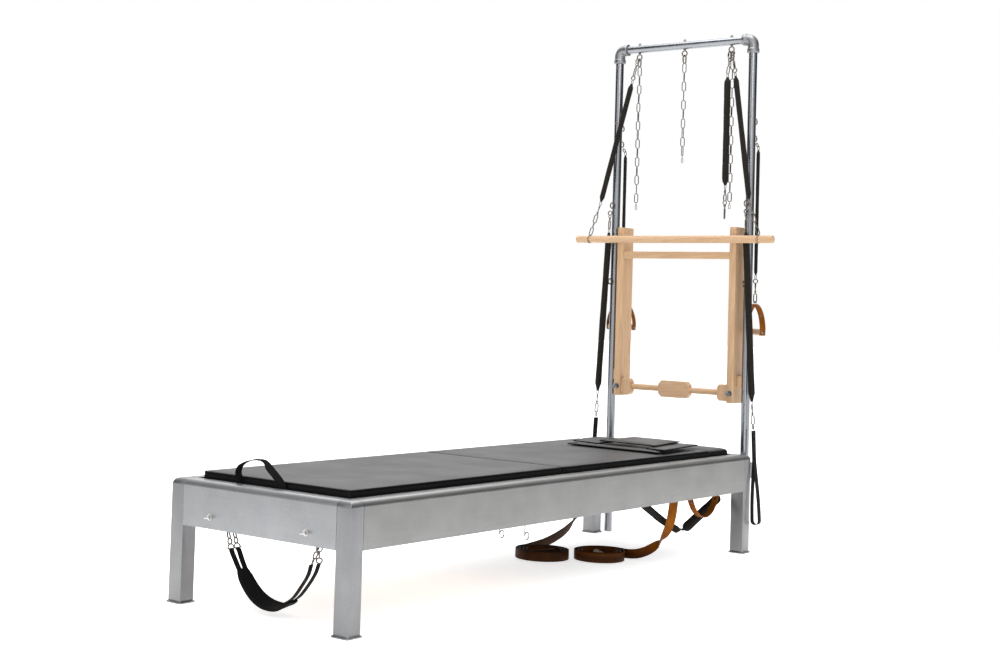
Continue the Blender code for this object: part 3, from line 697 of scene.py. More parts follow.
def leatherCords():
    for side, _ in sides:
        piece, path = leatherStrap(side)
        grip = gripOnCoil(side)


leatherCords()
print("leather straps wound")


# aluminium frame
rail = dict(
    wall=0.005,
    flange=0.050,
    edge=0.018,
    lipDrop=0.018,
    lipReach=0.020,
    ledgeRise=0.025,
    ledgeReach=0.075,
)


boltSteel = polishedSteel("boltSteel", (0.55, 0.54, 0.52), 0.22)


def railSection(ledge):
    # distance in from the outer face, and height, round the same section as the model with a finer edge
    r, w = rail["edge"], rail["wall"]
    out = np.linspace(math.pi, math.pi / 2, 13)
    back = np.linspace(math.pi / 2, math.pi, 9)
    corner = np.array([r, railTop - r])
    points = [(0.0, railBottom)]
    points += (corner + r * np.stack([np.cos(out), np.sin(out)], 1)).tolist()
    points += [(rail["flange"], railTop)]
    if ledge:
        lip = railTop - rail["lipDrop"]
        points += [(rail["flange"], lip), (rail["flange"] + rail["lipReach"], lip)]
        points += [(rail["flange"] + rail["lipReach"], lip - w), (rail["flange"] - w, lip - w)]
        points += [(rail["flange"] - w, railTop - w)]
    else:
        points += [(rail["flange"], railTop - w)]
    points += (corner + (r - w) * np.stack([np.cos(back), np.sin(back)], 1)).tolist()
    if ledge:
        z = railBottom + rail["ledgeRise"]
        points += [(w, z), (rail["ledgeReach"], z), (rail["ledgeReach"], z - w), (w, z - w)]
    points += [(w, railBottom + w), (0.030, railBottom + w), (0.030, railBottom)]
    return np.array(points)


def longRail(side, sign):
    section = railSection(True)
    xs = np.linspace(low(f"long_rail_{side}")[0], high(f"long_rail_{side}")[0], 3)
    grid = np.zeros((3, len(section), 3))
    grid[..., 0] = xs[:, None]
    grid[..., 1] = sign * (halfWidth - section[:, 0])
    grid[..., 2] = section[:, 1]
    makePiece(
        f"longRail_{side}", [dict(grid=grid)], [aluminiumX], "frame", (f"long_rail_{side}",)
    )


def endRail(name, faceX, sign, bolts):
    section = railSection(False)
    reach = halfWidth - legSize - seam
    grid = np.zeros((3, len(section), 3))
    grid[..., 0] = faceX + sign * section[:, 0]
    grid[..., 1] = np.linspace(-reach, reach, 3)[:, None]
    grid[..., 2] = section[:, 1]
    patches = [dict(grid=grid)]
    for y in bolts:
        # washer, nut, thread and rounded tip of each bolt
        start = np.array([faceX + 0.001, y, railBottom + 0.033])
        screw = [(0.0013, 0.0072), (0.0070, 0.0070), (0.0071, 0.0036)]
        patches.append(turned(screw, start, (-1, 0, 0), 6, 1))
        thread = np.linspace(0.0068, 0.0205, 60)
        radius = 0.0033 + 0.0003 * np.sin(thread * 2 * math.pi / 0.00125)
        radius[-3:] = (0.0031, 0.0026, 0.0018)
        patches.append(turned(np.stack([thread, radius], 1), start, (-1, 0, 0), 16, 1))
        patches.append(turned([(0, 0.0092), (0.0014, 0.0092)], start, (-1, 0, 0), 28, 1))
    makePiece(name, patches, [aluminiumY, boltSteel], "frame", (name,))


def legShape(node, outX, outY):
    # a rounded square carried up; near the top its two outer faces draw in along a quarter circle
    x0, x1 = (footX, footX + legSize) if outX < 0 else (headX - legSize, headX)
    y1 = outY * halfWidth
    y0 = outY * (halfWidth - legSize)
    r = rail["edge"]
    turn = np.linspace(0, math.pi / 2, 11)
    heights = np.concatenate([[0.004, 0.02, 0.12, 0.22], railTop - r + r * np.sin(turn)])
    inset = np.concatenate([np.zeros(4), r * (1 - np.cos(turn))])
    rows = []
    for z, d in zip(heights, inset):
        xs = (x0 + (d if outX < 0 else 0), x1 - (d if outX > 0 else 0))
        ys = sorted((y0, y1 - outY * d))
        ring = roundedRect(xs[1] - xs[0], ys[1] - ys[0], 0.0012, 3)
        rows.append(np.column_stack([ring + (np.mean(xs), np.mean(ys)), np.full(len(ring), z)]))
    plate = []
    for z, grow in ((0.0, 0.0050), (0.0012, 0.0062), (0.0038, 0.0060), (0.0052, 0.0020), (0.0075, 0.0004)):
        ring = roundedRect(legSize + 2 * grow, legSize + 2 * grow, 0.006 + grow * 0.5, 4)
        middleOf = ((x0 + x1) / 2, (y0 + y1) / 2)
        plate.append(np.column_stack([ring + middleOf, np.full(len(ring), z)]))
    patches = [dict(grid=np.array(rows)), dict(grid=np.array(plate), mat=1)]
    makePiece(node + "_skin", patches, [aluminiumZ, elbowZinc], "frame", (node,))


def frameParts():
    for side, sign in sides:
        longRail(side, sign)
        legShape(f"leg_foot_{side}", -1, sign)
        legShape(f"leg_head_{side}", 1, sign)
    endRail("foot_rail", footX, 1, (0.187, -0.187))
    endRail("head_rail", headX, -1, ())
    dress("gear_bar", aluminiumY)
    dress("pipe_clamp_left", aluminiumZ)
    dress("pipe_clamp_right", aluminiumZ)


def dress(node, look):
    # a model part whose own shape is kept
    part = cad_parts[node]
    part.data.materials.clear()
    part.data.materials.append(look)


frameParts()
print("frame built")


# tower pipes, fittings and eyes
tower = dict(pipe=0.0159, eye=0.0105, wire=0.0026, frontEyes=(1.285, 0.984), rearEyes=(1.534, 1.598))


def eyeBolt(base, direction, axis):
    # washer, shank and a closed ring standing off the pipe
    base, direction = np.array(base, float), np.array(direction, float)
    shank = [(-0.004, 0.003), (0.0, 0.0062), (0.0012, 0.0062), (0.0013, 0.0042)]
    shank += [(0.0045, 0.0040), (0.0075, 0.0027)]
    centre = base + direction * (0.006 + tower["eye"])
    return [turned(shank, base, direction, 16, 1), ringAt(centre, axis, tower["eye"], tower["wire"], 1)]


def towerPipe(side, sign):
    y = sign * pipeY
    top = high(f"tower_pipe_{side}")[2]
    r = tower["pipe"]
    profile = [(0.0, r - 0.001), (0.001, r), (0.5, r), (1.0, r), (1.5, r), (top + 0.015, r)]
    patches = [turned(profile, (pipeX, y, 0), (0, 0, 1), 48, 0)]
    for z in tower["frontEyes"]:
        patches += eyeBolt((pipeX - r, y, z), (-1, 0, 0), (0, 1, 0))
    for z in tower["rearEyes"]:
        patches += eyeBolt((pipeX + r, y, z), (1, 0, 0), (0, 1, 0))
    for z in (1.615, 1.838):
        # small round-head screws on the front
        head = [(0, 0.0052), (0.0014, 0.0050), (0.0026, 0.0036), (0.0030, 0.001)]
        patches.append(turned(head, (pipeX - r + 0.0004, y, z), (-1, 0, 0), 16, 1))
    makePiece(
        f"towerPipe_{side}", patches, [pipeChrome, hookNickel], "frame", (f"tower_pipe_{side}",)
    )


def crossPipe():
    lo, hi = low("cross_pipe"), high("cross_pipe")
    r = tower["pipe"]
    z = towerTop
    profile = [(0, r), (0.3, r), (hi[1] - lo[1] + 0.02, r)]
    patches = [turned(profile, (pipeX, lo[1] - 0.01, z), (0, 1, 0), 48, 0)]
    for y in (-eyeY, 0.0, eyeY):
        patches += eyeBolt((pipeX, y, z - r), (0, 0, -1), (1, 0, 0))
        nut = [(0, 0.0068), (0.0012, 0.0068), (0.0013, 0.0052), (0.005, 0.0050)]
        nut += [(0.0052, 0.0028), (0.0085, 0.0026)]
        patches.append(turned(nut, (pipeX, y, z + r - 0.0008), (0, 0, 1), 6, 1))
    makePiece("crossPipe", patches, [pipeChrome, hookNickel], "frame", ("cross_pipe",))


def elbow(side, sign):
    # a bent barrel with a thicker rolled collar at each mouth, and a set screw in each
    bend, r = 0.0225, 0.0208
    turn = np.linspace(0, math.pi / 2, 13)
    inward = pipeY - bend + bend * np.cos(turn)
    upward = towerTop - bend + bend * np.sin(turn)
    y = np.concatenate([[pipeY, pipeY, pipeY], inward, [pipeY - 0.034, pipeY - 0.040]])
    z = np.concatenate([[towerTop - 0.052, towerTop - 0.046, towerTop - 0.03], upward, [towerTop, towerTop]])
    path = np.column_stack([np.full(len(y), pipeX), sign * y, z])
    patches = [tube(path, np.full(len(path), r), 36, (1, 0, 0))]
    collar = [(0, 0.0168), (0.0005, 0.0222), (0.002, 0.0232), (0.014, 0.0232)]
    collar += [(0.0165, 0.0222), (0.019, 0.0203)]
    patches.append(turned(collar, path[0] - (0, 0, 0.0004), (0, 0, 1), 40))
    patches.append(turned(collar, path[-1] - (0, sign * 0.0004, 0), (0, sign, 0), 40))
    screw = [(0, 0.0045), (0.0016, 0.0045), (0.0017, 0.0026), (0.0008, 0.0024), (0.0007, 0.0004)]
    patches.append(turned(screw, path[0] + (-0.0218, 0, 0.007), (-1, 0, 0), 16, 1))
    patches.append(turned(screw, path[-1] + (-0.0218, sign * 0.007, 0), (-1, 0, 0), 16, 1))
    node = f"elbow_{side}"
    makePiece(node + "_skin", patches, [elbowZinc, hookNickel], "frame", (node,))


towerTop = 1.907
eyeY = pipeY - 0.0915


def towerParts():
    for side, sign in sides:
        towerPipe(side, sign)
        elbow(side, sign)
    crossPipe()


towerParts()
print("tower built")


# wooden sliding frame
wood = dict(edge=0.0028, rodZ=0.575, rodRadius=0.0115)


def woodenBlock(lo, hi, chamfer):
    # the eight-sided block that holds the rod: an outline in Y and Z, carried along X with eased ends
    half = (np.array(hi) - np.array(lo)) / 2
    mid = (np.array(hi) + np.array(lo)) / 2
    c = chamfer
    outline = np.array([(1, -1 + c), (1, 1 - c), (1 - c, 1), (-1 + c, 1)])
    outline = np.vstack([outline, -outline])
    rows = []
    for x, shrink in ((-1, 0.0015), (-0.88, 0), (0.88, 0), (1, 0.0015)):
        ring = outline * (half[1] - shrink, half[2] - shrink)
        level = np.full(8, mid[0] + x * half[0])
        rows.append(np.column_stack([level, mid[1] + ring[:, 0], mid[2] + ring[:, 1]]))
    return dict(grid=np.array(rows))


def slidingFrame():
    for side, sign in sides:
        node = f"sliding_leg_{side}"
        lo, hi = low(node), high(node)
        inner = sorted((sign * (pipeY - 0.0615), sign * (pipeY - 0.0335)))
        board = softBlock((lo[0], inner[0], lo[2]), (hi[0], inner[1], hi[2]), wood["edge"], 0.3)
        blockY = sorted((sign * 0.190, sign * (pipeY - 0.0605)))
        rodX = lo[0] + 0.0235
        block = woodenBlock((rodX - 0.0165, blockY[0], 0.5445), (rodX + 0.0125, blockY[1], 0.6055), 0.36)
        patches = board + [block]
        for z in (1.150, 0.9, 0.66):
            plug = [(0, 0.0046), (0.0008, 0.0044), (0.0009, 0.001)]
            place = (middle(node)[0], inner[0] if sign > 0 else inner[1], z)
            patches.append(turned(plug, place, (0, -sign, 0), 16, 1))
        makePiece(node + "_wood", patches, [beechZ, beechX], "sliding_frame", (node,), weld=True)
        dress(f"glider_{side}", beechZ)
    slat = softBlock(low("sliding_slat"), high("sliding_slat"), 0.0025, 0.3)
    makePiece("slidingSlat", slat, [beechY], "sliding_frame", ("sliding_slat",), weld=True)


def footRod():
    lo, hi = low("foot_rod"), high("foot_rod")
    x, z, r = (lo[0] + hi[0]) / 2, wood["rodZ"], wood["rodRadius"]
    length = hi[1] - lo[1]
    profile = [(0, r - 0.0012), (0.0012, r), (0.2, r), (length - 0.0012, r), (length, r - 0.0012)]
    # the paddle: a long eight-sided outline in Y and Z, carried along X
    half, rise, c = 0.0675, 0.0315, 0.013
    outline = np.array([(half, -rise + c), (half, rise - c), (half - c, rise), (-half + c, rise)])
    outline = np.vstack([outline, -outline])
    rows = []
    for dx, shrink in ((-0.0125, 0.0016), (-0.0108, 0), (0.0108, 0), (0.0125, 0.0016)):
        ring = outline - np.sign(outline) * shrink
        rows.append(np.column_stack([np.full(8, x + dx), ring[:, 0], z + ring[:, 1]]))
    patches = [turned(profile, (x, lo[1], z), (0, 1, 0), 36), dict(grid=np.array(rows))]
    makePiece("footRod", patches, [beechY], "foot_rod", ("foot_rod",))


def knob(side):
    # a hex-headed clamping bolt on a wide washer
    node = f"clamp_knob_{side}"
    start = (high(node)[0] - 0.0002, middle(node)[1], wood["rodZ"])
    washer = [(0, 0.0103), (0.0016, 0.0103), (0.0020, 0.0098)]
    collar = [(0.0018, 0.0088), (0.010, 0.0085), (0.0105, 0.0075)]
    head = [(0.0095, 0.0094), (0.0100, 0.0100), (0.0180, 0.0100), (0.0190, 0.0092)]
    tip = [(0.0185, 0.0048), (0.0225, 0.0046), (0.0235, 0.0035)]
    patches = [turned(washer, start, (-1, 0, 0), 32, 1), turned(collar, start, (-1, 0, 0), 32, 0)]
    patches += [turned(head, start, (-1, 0, 0), 6, 1), turned(tip, start, (-1, 0, 0), 18, 1)]
    makePiece(f"clampKnob_{side}", patches, [nylon, darkSteel], f"clamp_knob_{side}", (node,))


darkSteel = polishedSteel("darkSteel", (0.24, 0.26, 0.29), 0.28)
slidingFrame()
footRod()
for side, _ in sides:
    knob(side)
print("wooden frame built")


# sleeved springs, chains and hooks
lengths = dict(ring=0.021, link=0.034, snap=0.060, loop=0.024, dee=0.022, quick=0.037)


def sleevedSpring(points, radius, pitch=0.0044, ripple=0.0005, taper=0.020, bands=(0.03, 0.97)):
    # a woven sleeve over a close coil: the radius ripples once per turn, both ends draw in, and
    # thread bands bind it
    path = curveThrough(points, 0.0011)
    run = np.concatenate([[0], np.cumsum(np.linalg.norm(np.diff(path, axis=0), axis=1))])
    total = run[-1]
    fall = np.clip(np.minimum(run, total - run) / taper, 0, 1)
    ends = fall * fall * (3 - 2 * fall)
    swell = 1 + 0.025 * np.sin(run * 21 + 0.6) + 0.015 * np.sin(run * 57)
    size = radius * (0.42 + 0.58 * ends) * swell + ripple * np.sin(run * 2 * math.pi / pitch) * ends
    for share in bands:
        near = np.clip(1 - np.abs(run - share * total) / 0.006, 0, 1)
        size = size * (1 - 0.05 * near)
    return tube(path, size, 20)


def hardware(start, end, kinds, normal, mat=1, turnBy=0.0):
    # rings, links and snaps joined end to end, each hooked through the one before and a quarter turned
    start, end = np.array(start, float), np.array(end, float)
    run = end - start
    along = unit(run)
    normal = unit(np.array(normal, float) - (np.array(normal, float) @ along) * along)
    overlap = 0.0042
    sizes = np.array([lengths[kind] for kind in kinds])
    sizes = sizes * (np.linalg.norm(run) + overlap * (len(kinds) - 1)) / sizes.sum()
    patches, reached = [], 0.0
    for number, (kind, size) in enumerate(zip(kinds, sizes)):
        a, b = start + along * reached, start + along * (reached + size)
        angle = number * math.pi / 2 + turnBy
        facing = normal * math.cos(angle) + np.cross(along, normal) * math.sin(angle)
        if kind == "snap":
            patches += snapHook(a, b, facing, size / 0.066, mat)
        elif kind == "ring":
            patches.append(ringAt((a + b) / 2, facing, size / 2 - 0.0022, 0.0022, mat))
        elif kind == "dee":
            sideways = np.cross(along, facing)
            turn = np.linspace(0, math.pi, 15)[:, None]
            reach = size - 0.004
            arc = b - along * 0.002 - along * reach * np.sin(turn) + sideways * 0.012 * np.cos(turn)
            bar = arc[-1] + (arc[0] - arc[-1]) * np.linspace(0.1, 0.9, 7)[:, None]
            patches.append(tube(np.vstack([arc, bar]), 0.0020, 8, facing, closed=True, mat=mat))
        else:
            width, wire = dict(link=(0.0150, 0.0020), loop=(0.0135, 0.0022), quick=(0.0185, 0.0026))[kind]
            patches.append(linkBetween(a, b, width, wire, facing, mat))
            if kind == "quick":
                nut = np.array([(0, 0.0030), (0.0004, 0.0036), (0.0096, 0.0036), (0.010, 0.0030)])
                edge = (a + b) / 2 + np.cross(facing, along) * (width / 2 - wire) - along * 0.005
                patches.append(turned(nut, edge, along, 6, mat))
        reached += size - overlap
    return patches


def wireEnd(spring, hook, mat=1):
    # the thin wire eye that comes out of a spring's tapered end
    return linkBetween(spring, hook, 0.011, 0.0013, (0.3, 1, 0.1), mat)


def springPiece(name, points, radius, above, below, body, node, normal=(1, 0, 0), **shape):
    patches = [sleevedSpring(points, radius, **shape)]
    top, bottom = np.array(points[0], float), np.array(points[-1], float)
    along = unit(bottom - top)
    hookTop, kindsTop = above
    patches.append(wireEnd(top + along * 0.004, top - along * 0.016))
    patches += hardware(hookTop, top - along * 0.0125, kindsTop, normal)
    if below:
        hookBottom, kindsBottom = below
        patches.append(wireEnd(bottom - along * 0.004, bottom + along * 0.016))
        patches += hardware(bottom + along * 0.0125, hookBottom, kindsBottom, normal, turnBy=0.9)
    return makePiece(name, patches, [sleeve, hookNickel], body, (node,))


def rollDown():
    bar = low("roll_down_bar"), high("roll_down_bar")
    x, z, r = middle("roll_down_bar")[0], middle("roll_down_bar")[2], 0.0143
    ends = bar[0][1], bar[1][1]
    profile = [(0, r - 0.0022), (0.0010, r - 0.0006), (0.0024, r), (0.3, r), (0.56, r)]
    total = ends[1] - ends[0]
    profile += [(total - 0.0024, r), (total - 0.0010, r - 0.0006), (total, r - 0.0022)]
    patches = [turned(profile, (x, ends[0], z), (0, 1, 0), 40)]
    for sign in (1, -1):
        for y in (0.368, 0.3735):
            patches.append(ringAt((x, sign * y, z), (0, 1, 0), r + 0.0008, 0.0008, 1))
    makePiece("rollDownBar", patches, [beechY, hookNickel], "roll_down", ("roll_down_bar",))
    for side, sign in sides:
        springPiece(
            f"rollDownSpring_{side}",
            [(pipeX - 0.012, sign * 0.230, 1.770), (x + 0.004, sign * 0.326, 1.298)], 0.0100,
            ((pipeX - 0.002, sign * 0.2090, topEye - 0.0050), ("ring", "snap", "ring")),
            ((x, sign * 0.371, z + 0.0155), ("ring", "snap", "loop", "link")),
            "roll_down", f"roll_down_spring_{side}",
        )


def thickSpring():
    x, y = pipeX - 0.026, -eyeY
    springPiece(
        "thickSpring", [(x, y, 1.765), (x, y, 1.355)], 0.0122,
        ((x + 0.023, y + 0.003, topEye - 0.0048), ("quick", "ring", "snap")),
        ((x, y, 1.226), ("ring", "loop", "snap")),
        "thick_spring", "thick_spring", pitch=0.0068, ripple=0.00035, taper=0.020,
        bands=(0.045, 0.2, 0.35, 0.5, 0.65, 0.8, 0.955),
    )


def looseChain(side, x, y, top, bottom, count, toss):
    # links a quarter turn apart, each also turned a little at random as a slack chain hangs
    toss = np.random.default_rng(toss)
    quick, hook = 0.036, 0.030
    patches = hardware((pipeX + (x - pipeX) * 0.2, y, top), (x, y, top - quick), ("quick",), (0.4, 1, 0))
    start, end = np.array([x, y, top - quick + 0.003]), np.array([x, y, bottom + hook - 0.003])
    wire, width = 0.0018, 0.0172
    run = end - start
    overlap = 2 * wire * 0.95
    pitch = (np.linalg.norm(run) + overlap * (count - 1)) / count
    sway = np.cumsum(toss.normal(0, 0.0004, (count + 1, 2)), axis=0)
    sway -= np.linspace(0, 1, count + 1)[:, None] * sway[-1]
    for i in range(count):
        a = start - (0, 0, i * (pitch - overlap)) + (*sway[i], 0)
        b = start - (0, 0, i * (pitch - overlap) + pitch) + (*sway[i + 1], 0)
        angle = i * math.pi / 2 + 0.6 + toss.normal(0, 0.22)
        patches.append(linkBetween(a, b, width, wire, (math.cos(angle), math.sin(angle), 0), 0))
    patches += snapHook((x, y, bottom + hook), (x, y, bottom), (1, 0.5, 0), 0.46, 1)
    node = f"chain_{side}"
    makePiece(node + "_links", patches, [chainZinc, hookNickel], node, (node,))


def legSpring(side, sign):
    springPiece(
        f"legSpring_{side}",
        [(pipeX - 0.038, sign * 0.302, 1.177), (pipeX - 0.033, sign * 0.339, 0.550)], 0.0122,
        ((pipeX - 0.036, sign * 0.300, 1.265), ("ring", "snap")),
        ((pipeX - 0.030, sign * 0.346, 0.447), ("ring", "snap", "dee")),
        f"leg_spring_{side}", f"leg_spring_{side}", taper=0.034,
    )


def armSpring(side, sign):
    y = sign * pipeY
    x = pipeX + 0.058
    springPiece(
        f"armSpring_{side}", [(x, y, 1.494), (x, y, 1.019)], 0.0066,
        ((pipeX + 0.0375, y, 1.516), ("link",)), ((x, y, 0.9145), ("ring", "loop", "snap")),
        f"arm_spring_{side}", f"arm_spring_{side}", normal=(0, 1, 0), taper=0.014,
    )


def handle(side, sign, spin):
    # a folded leather strap from the snap to both ends of a turned grip, held there by rivets
    turn = math.radians(spin)
    frontal = np.array([-math.sin(turn), math.cos(turn), 0.0])
    facing = np.array([math.cos(turn), math.sin(turn), 0.0])
    top = np.array([pipeX + 0.058, sign * pipeY, 0.912])
    half = [(0.0, -0.003), (0.010, -0.0052), (0.028, -0.0175), (0.044, -0.037)]
    half += [(0.0545, -0.061), (0.0602, -0.086), (0.0605, -0.106), (0.0585, -0.118)]
    flat = [(-a, b) for a, b in half[:0:-1]] + half
    points = [top + a * frontal + (0, 0, b) for a, b in flat]
    patches = [ribbon(curveThrough(points, 0.003), 0.024, 0.0030, facing)]
    screwHead = [(-0.002, 0.0062), (0, 0.006), (0.0012, 0.0046), (0.0020, 0.0015)]
    rivetHead = [(0, 0.0048), (0.0018, 0.0044), (0.0026, 0.0030), (0.0030, 0.001)]
    rivetTail = [(0, 0.0042), (0.0016, 0.0040), (0.0020, 0.001)]
    for end in (-1, 1):
        base = top + end * 0.0622 * frontal + (0, 0, -0.106)
        patches.append(turned(screwHead, base, frontal * end, 20, 2))
        wall = top + end * 0.0500 * frontal + (0, 0, -0.0465)
        out = unit(frontal * end * 0.90 + (0, 0, 0.42))
        patches.append(turned(rivetHead, wall, out, 18, 2))
        patches.append(turned(rivetTail, wall - out * 0.0018, -out, 18, 2))
    grip = [(0, 0.0095), (0.002, 0.0108), (0.016, 0.0118), (0.0575, 0.0124)]
    grip += [(0.099, 0.0118), (0.113, 0.0108), (0.115, 0.0095)]
    patches.append(turned(grip, top - 0.0575 * frontal + (0, 0, -0.106), frontal, 32, 1))
    patches += [ringAt(top + (0, 0, 0.0015), facing, 0.0085, 0.0016, 2)]
    node = f"arm_handle_{side}"
    looks = [leatherOrange, beechY, hookNickel]
    makePiece(f"armHandle_{side}", patches, looks, node, (node,))


def legStrap(side, sign):
    # a webbing loop: sewn flat for its neck, then open to a round bottom, the whole leaning outward
    length, neck, gap, thick = 0.345, 0.105, 0.0135, 0.0018
    steps = np.linspace(0, 1, 9)[1:]
    outward = [(0.0012, 0.0), (0.0012, -neck * 0.5), (0.0012, -neck)]
    fall = length - neck - gap - 0.002
    outward += [(0.0012 + gap * math.sin(math.pi / 2 * t) ** 1.2, -neck - fall * t) for t in steps]
    bow = np.radians(np.linspace(0, -180, 9))[1:-1]
    last = outward[-1]
    bottom = [(last[0] * math.cos(a), last[1] + gap * math.sin(a)) for a in bow]
    flat = outward + bottom + [(-a, b) for a, b in outward[::-1]]
    lean = math.radians(3.0) * sign
    top = np.array([pipeX - 0.029, sign * 0.346, 0.4435])
    outer = np.array([0, math.cos(lean), math.sin(lean)])
    rise = np.array([0, -math.sin(lean), math.cos(lean)])
    path = curveThrough([top + a * outer + b * rise for a, b in flat], 0.004)
    piece = makePiece(
        f"legStrap_{side}_webbing", [ribbon(path, 0.026, thick, (1, 0, 0))], [webbing],
        f"leg_strap_{side}", (f"leg_strap_{side}",),
    )
    # the bar tacks that close the neck
    stitch = np.array([[0, 0, -0.0022], [0, 0, 0], [0, 0, 0.0022]])
    tacks = []
    for z in (-0.030, -0.088, -0.102):
        for x in np.linspace(-0.010, 0.010, 9):
            for face in (1, -1):
                mid = top + (x, -z * math.sin(lean) + face * 0.00235, z)
                tacks.append(tube(mid + stitch, 0.00045, 5, (1, 0, 0)))
    makePiece(f"legStrapTacks_{side}", tacks, [webbing], f"leg_strap_{side}")


rollDown()
thickSpring()
chainTop = topEye - 0.0044
looseChain("left", pipeX, eyeY, chainTop, 1.268, 15, 3)
looseChain("middle", pipeX, 0.0, chainTop, 1.447, 10, 8)
looseChain("right", pipeX + 0.010, -eyeY, chainTop, 1.267, 15, 5)
for side, sign in sides:
    legSpring(side, sign)
    armSpring(side, sign)
    legStrap(side, sign)
handle("left", 1, 0.0)
handle("right", -1, -33.0)
print("springs, chains and handles hung")


# foot sling: two straps from the left hooks join a padded band, which splits into two straps at the right
sling = dict(x=0.071, band=0.046, thick=0.0085, web=0.0024, leftStrap=0.0215, rightStrap=0.0195)


def slingParts():
    x = footX + sling["x"]
    z = railBottom
    line = [(0.122, z - 0.110), (0.108, z - 0.130), (0.088, z - 0.153), (0.060, z - 0.176)]
    line += [(0.030, z - 0.190), (0.000, z - 0.196), (-0.036, z - 0.195), (-0.062, z - 0.184)]
    line += [(-0.080, z - 0.172)]
    path = curveThrough([(x, a, b) for a, b in line], 0.004)
    share = np.linspace(0, 1, len(path))
    # the band narrows to both ends; its edges carry a rolled binding
    width = sling["band"] * (0.62 + 0.38 * np.clip(np.minimum(share / 0.12, (1 - share) / 0.16), 0, 1) ** 0.6)
    outline = roundedRect(1.0, sling["thick"], sling["thick"] * 0.42, 4)
    band = sweep(path, outline, (1, 0, 0))
    tilt = 0.30 * np.sin(math.pi * share) ** 0.7
    grid = band["grid"]
    grid[..., 0] = x + (grid[..., 0] - x) * width[:, None]
    puff = np.cos(np.clip((grid[..., 0] - x) / width[:, None] * math.pi, -1.5, 1.5)) * 0.0014
    centre = grid.mean(axis=1, keepdims=True)
    away = unit((grid - centre) * (0, 1, 1))
    band["grid"] = grid + away * puff[..., None]
    # it hangs with its front edge lower than its rear one
    band["grid"][..., 2] += (band["grid"][..., 0] - x) * tilt[:, None]
    edges = []
    for edge in (1, -1):
        rim = path.copy()
        rim[:, 0] = x + edge * (width / 2 - 0.0012)
        rim[:, 2] += (rim[:, 0] - x) * tilt
        edges.append(tube(rim, sling["thick"] * 0.56, 10, (1, 0, 0), mat=0))
    piece = makePiece("slingBand", [band, *edges], [webbing], "foot_sling", ("foot_sling",))
    # ends: hooks, rings and D-rings, with a narrow strap from each to the band
    metal, runs = [], []
    for lean in (1, -1):
        hook = (x + (0.011 if lean > 0 else -0.012), 0.172, z - 0.010)
        ring = np.array((x + (0.012 if lean > 0 else -0.014), 0.160 if lean > 0 else 0.158, z - 0.046))
        metal += hardware(hook, ring, ("loop", "ring"), (0, 1, 0), 0)
        metal += hardware(ring + (0, 0.001, 0.004), ring + (0, -0.004, -0.012), ("dee",), (0, 1, 0.3), 0)
        run = [ring + (0, -0.004, -0.010), (x + lean * 0.014, 0.150, z - 0.066)]
        run += [(x + lean * 0.0125, 0.134, z - 0.092), (x + lean * 0.011, 0.106, z - 0.133)]
        runs.append((curveThrough(run, 0.004), sling["leftStrap"]))
    for lean in (1, -1):
        ring = np.array((x + lean * 0.013, -0.162 if lean > 0 else -0.158, z - 0.062))
        metal += hardware((x, -0.172, z - 0.010), ring, ("ring", "loop", "ring"), (lean, 1, 0), 0)
        run = [ring + (0, 0.001, 0.001), (x + lean * 0.014, -0.148, z - 0.090)]
        run += [(x + lean * 0.0135, -0.124, z - 0.124), (x + lean * 0.012, -0.092, z - 0.160)]
        run += [(x + lean * 0.011, -0.052, z - 0.183)]
        runs.append((curveThrough(run, 0.004), sling["rightStrap"]))
    makePiece("slingHardware", metal, [hookNickel], "foot_sling")
    for number, (path, wide) in enumerate(runs):
        webs = [ribbon(path, wide, sling["web"], (1, 0.15, 0))]
        strap = makePiece(f"slingStrap_{number + 1}", webs, [webbing], "foot_sling")


def liftLoop():
    # a webbing handle sewn under the foot end of the mat: it stands up, leans back and twists once
    x0 = footX + 0.0555
    line = [
        (x0, 0.125, 0.352), (x0, 0.127, 0.366), (x0 - 0.001, 0.134, 0.386), (x0 + 0.004, 0.128, 0.406),
        (x0 + 0.012, 0.104, 0.420), (x0 + 0.016, 0.076, 0.4245), (x0 + 0.014, 0.046, 0.4185),
        (x0 + 0.008, 0.014, 0.402), (x0 + 0.003, -0.016, 0.384), (x0, -0.038, 0.368),
        (x0 - 0.0005, -0.046, 0.352),
    ]
    path = curveThrough(line, 0.003)
    share = np.linspace(0, 1, len(path))[:, None]
    twist = np.clip((share - 0.40) / 0.26, 0, 1)
    twist = twist**2 * (3 - 2 * twist)
    across = unit(np.array([1.0, 0.0, 0.1]) * (1 - twist) + np.array([0.0, 0.6, -0.8]) * twist)
    webs = [ribbon(path, 0.025, 0.0020, across)]
    piece = makePiece("liftLoop", webs, [webbing], "mat_panel_foot")


# mats and pads: foam under vinyl, filled by a cloth simulation with its underside held still


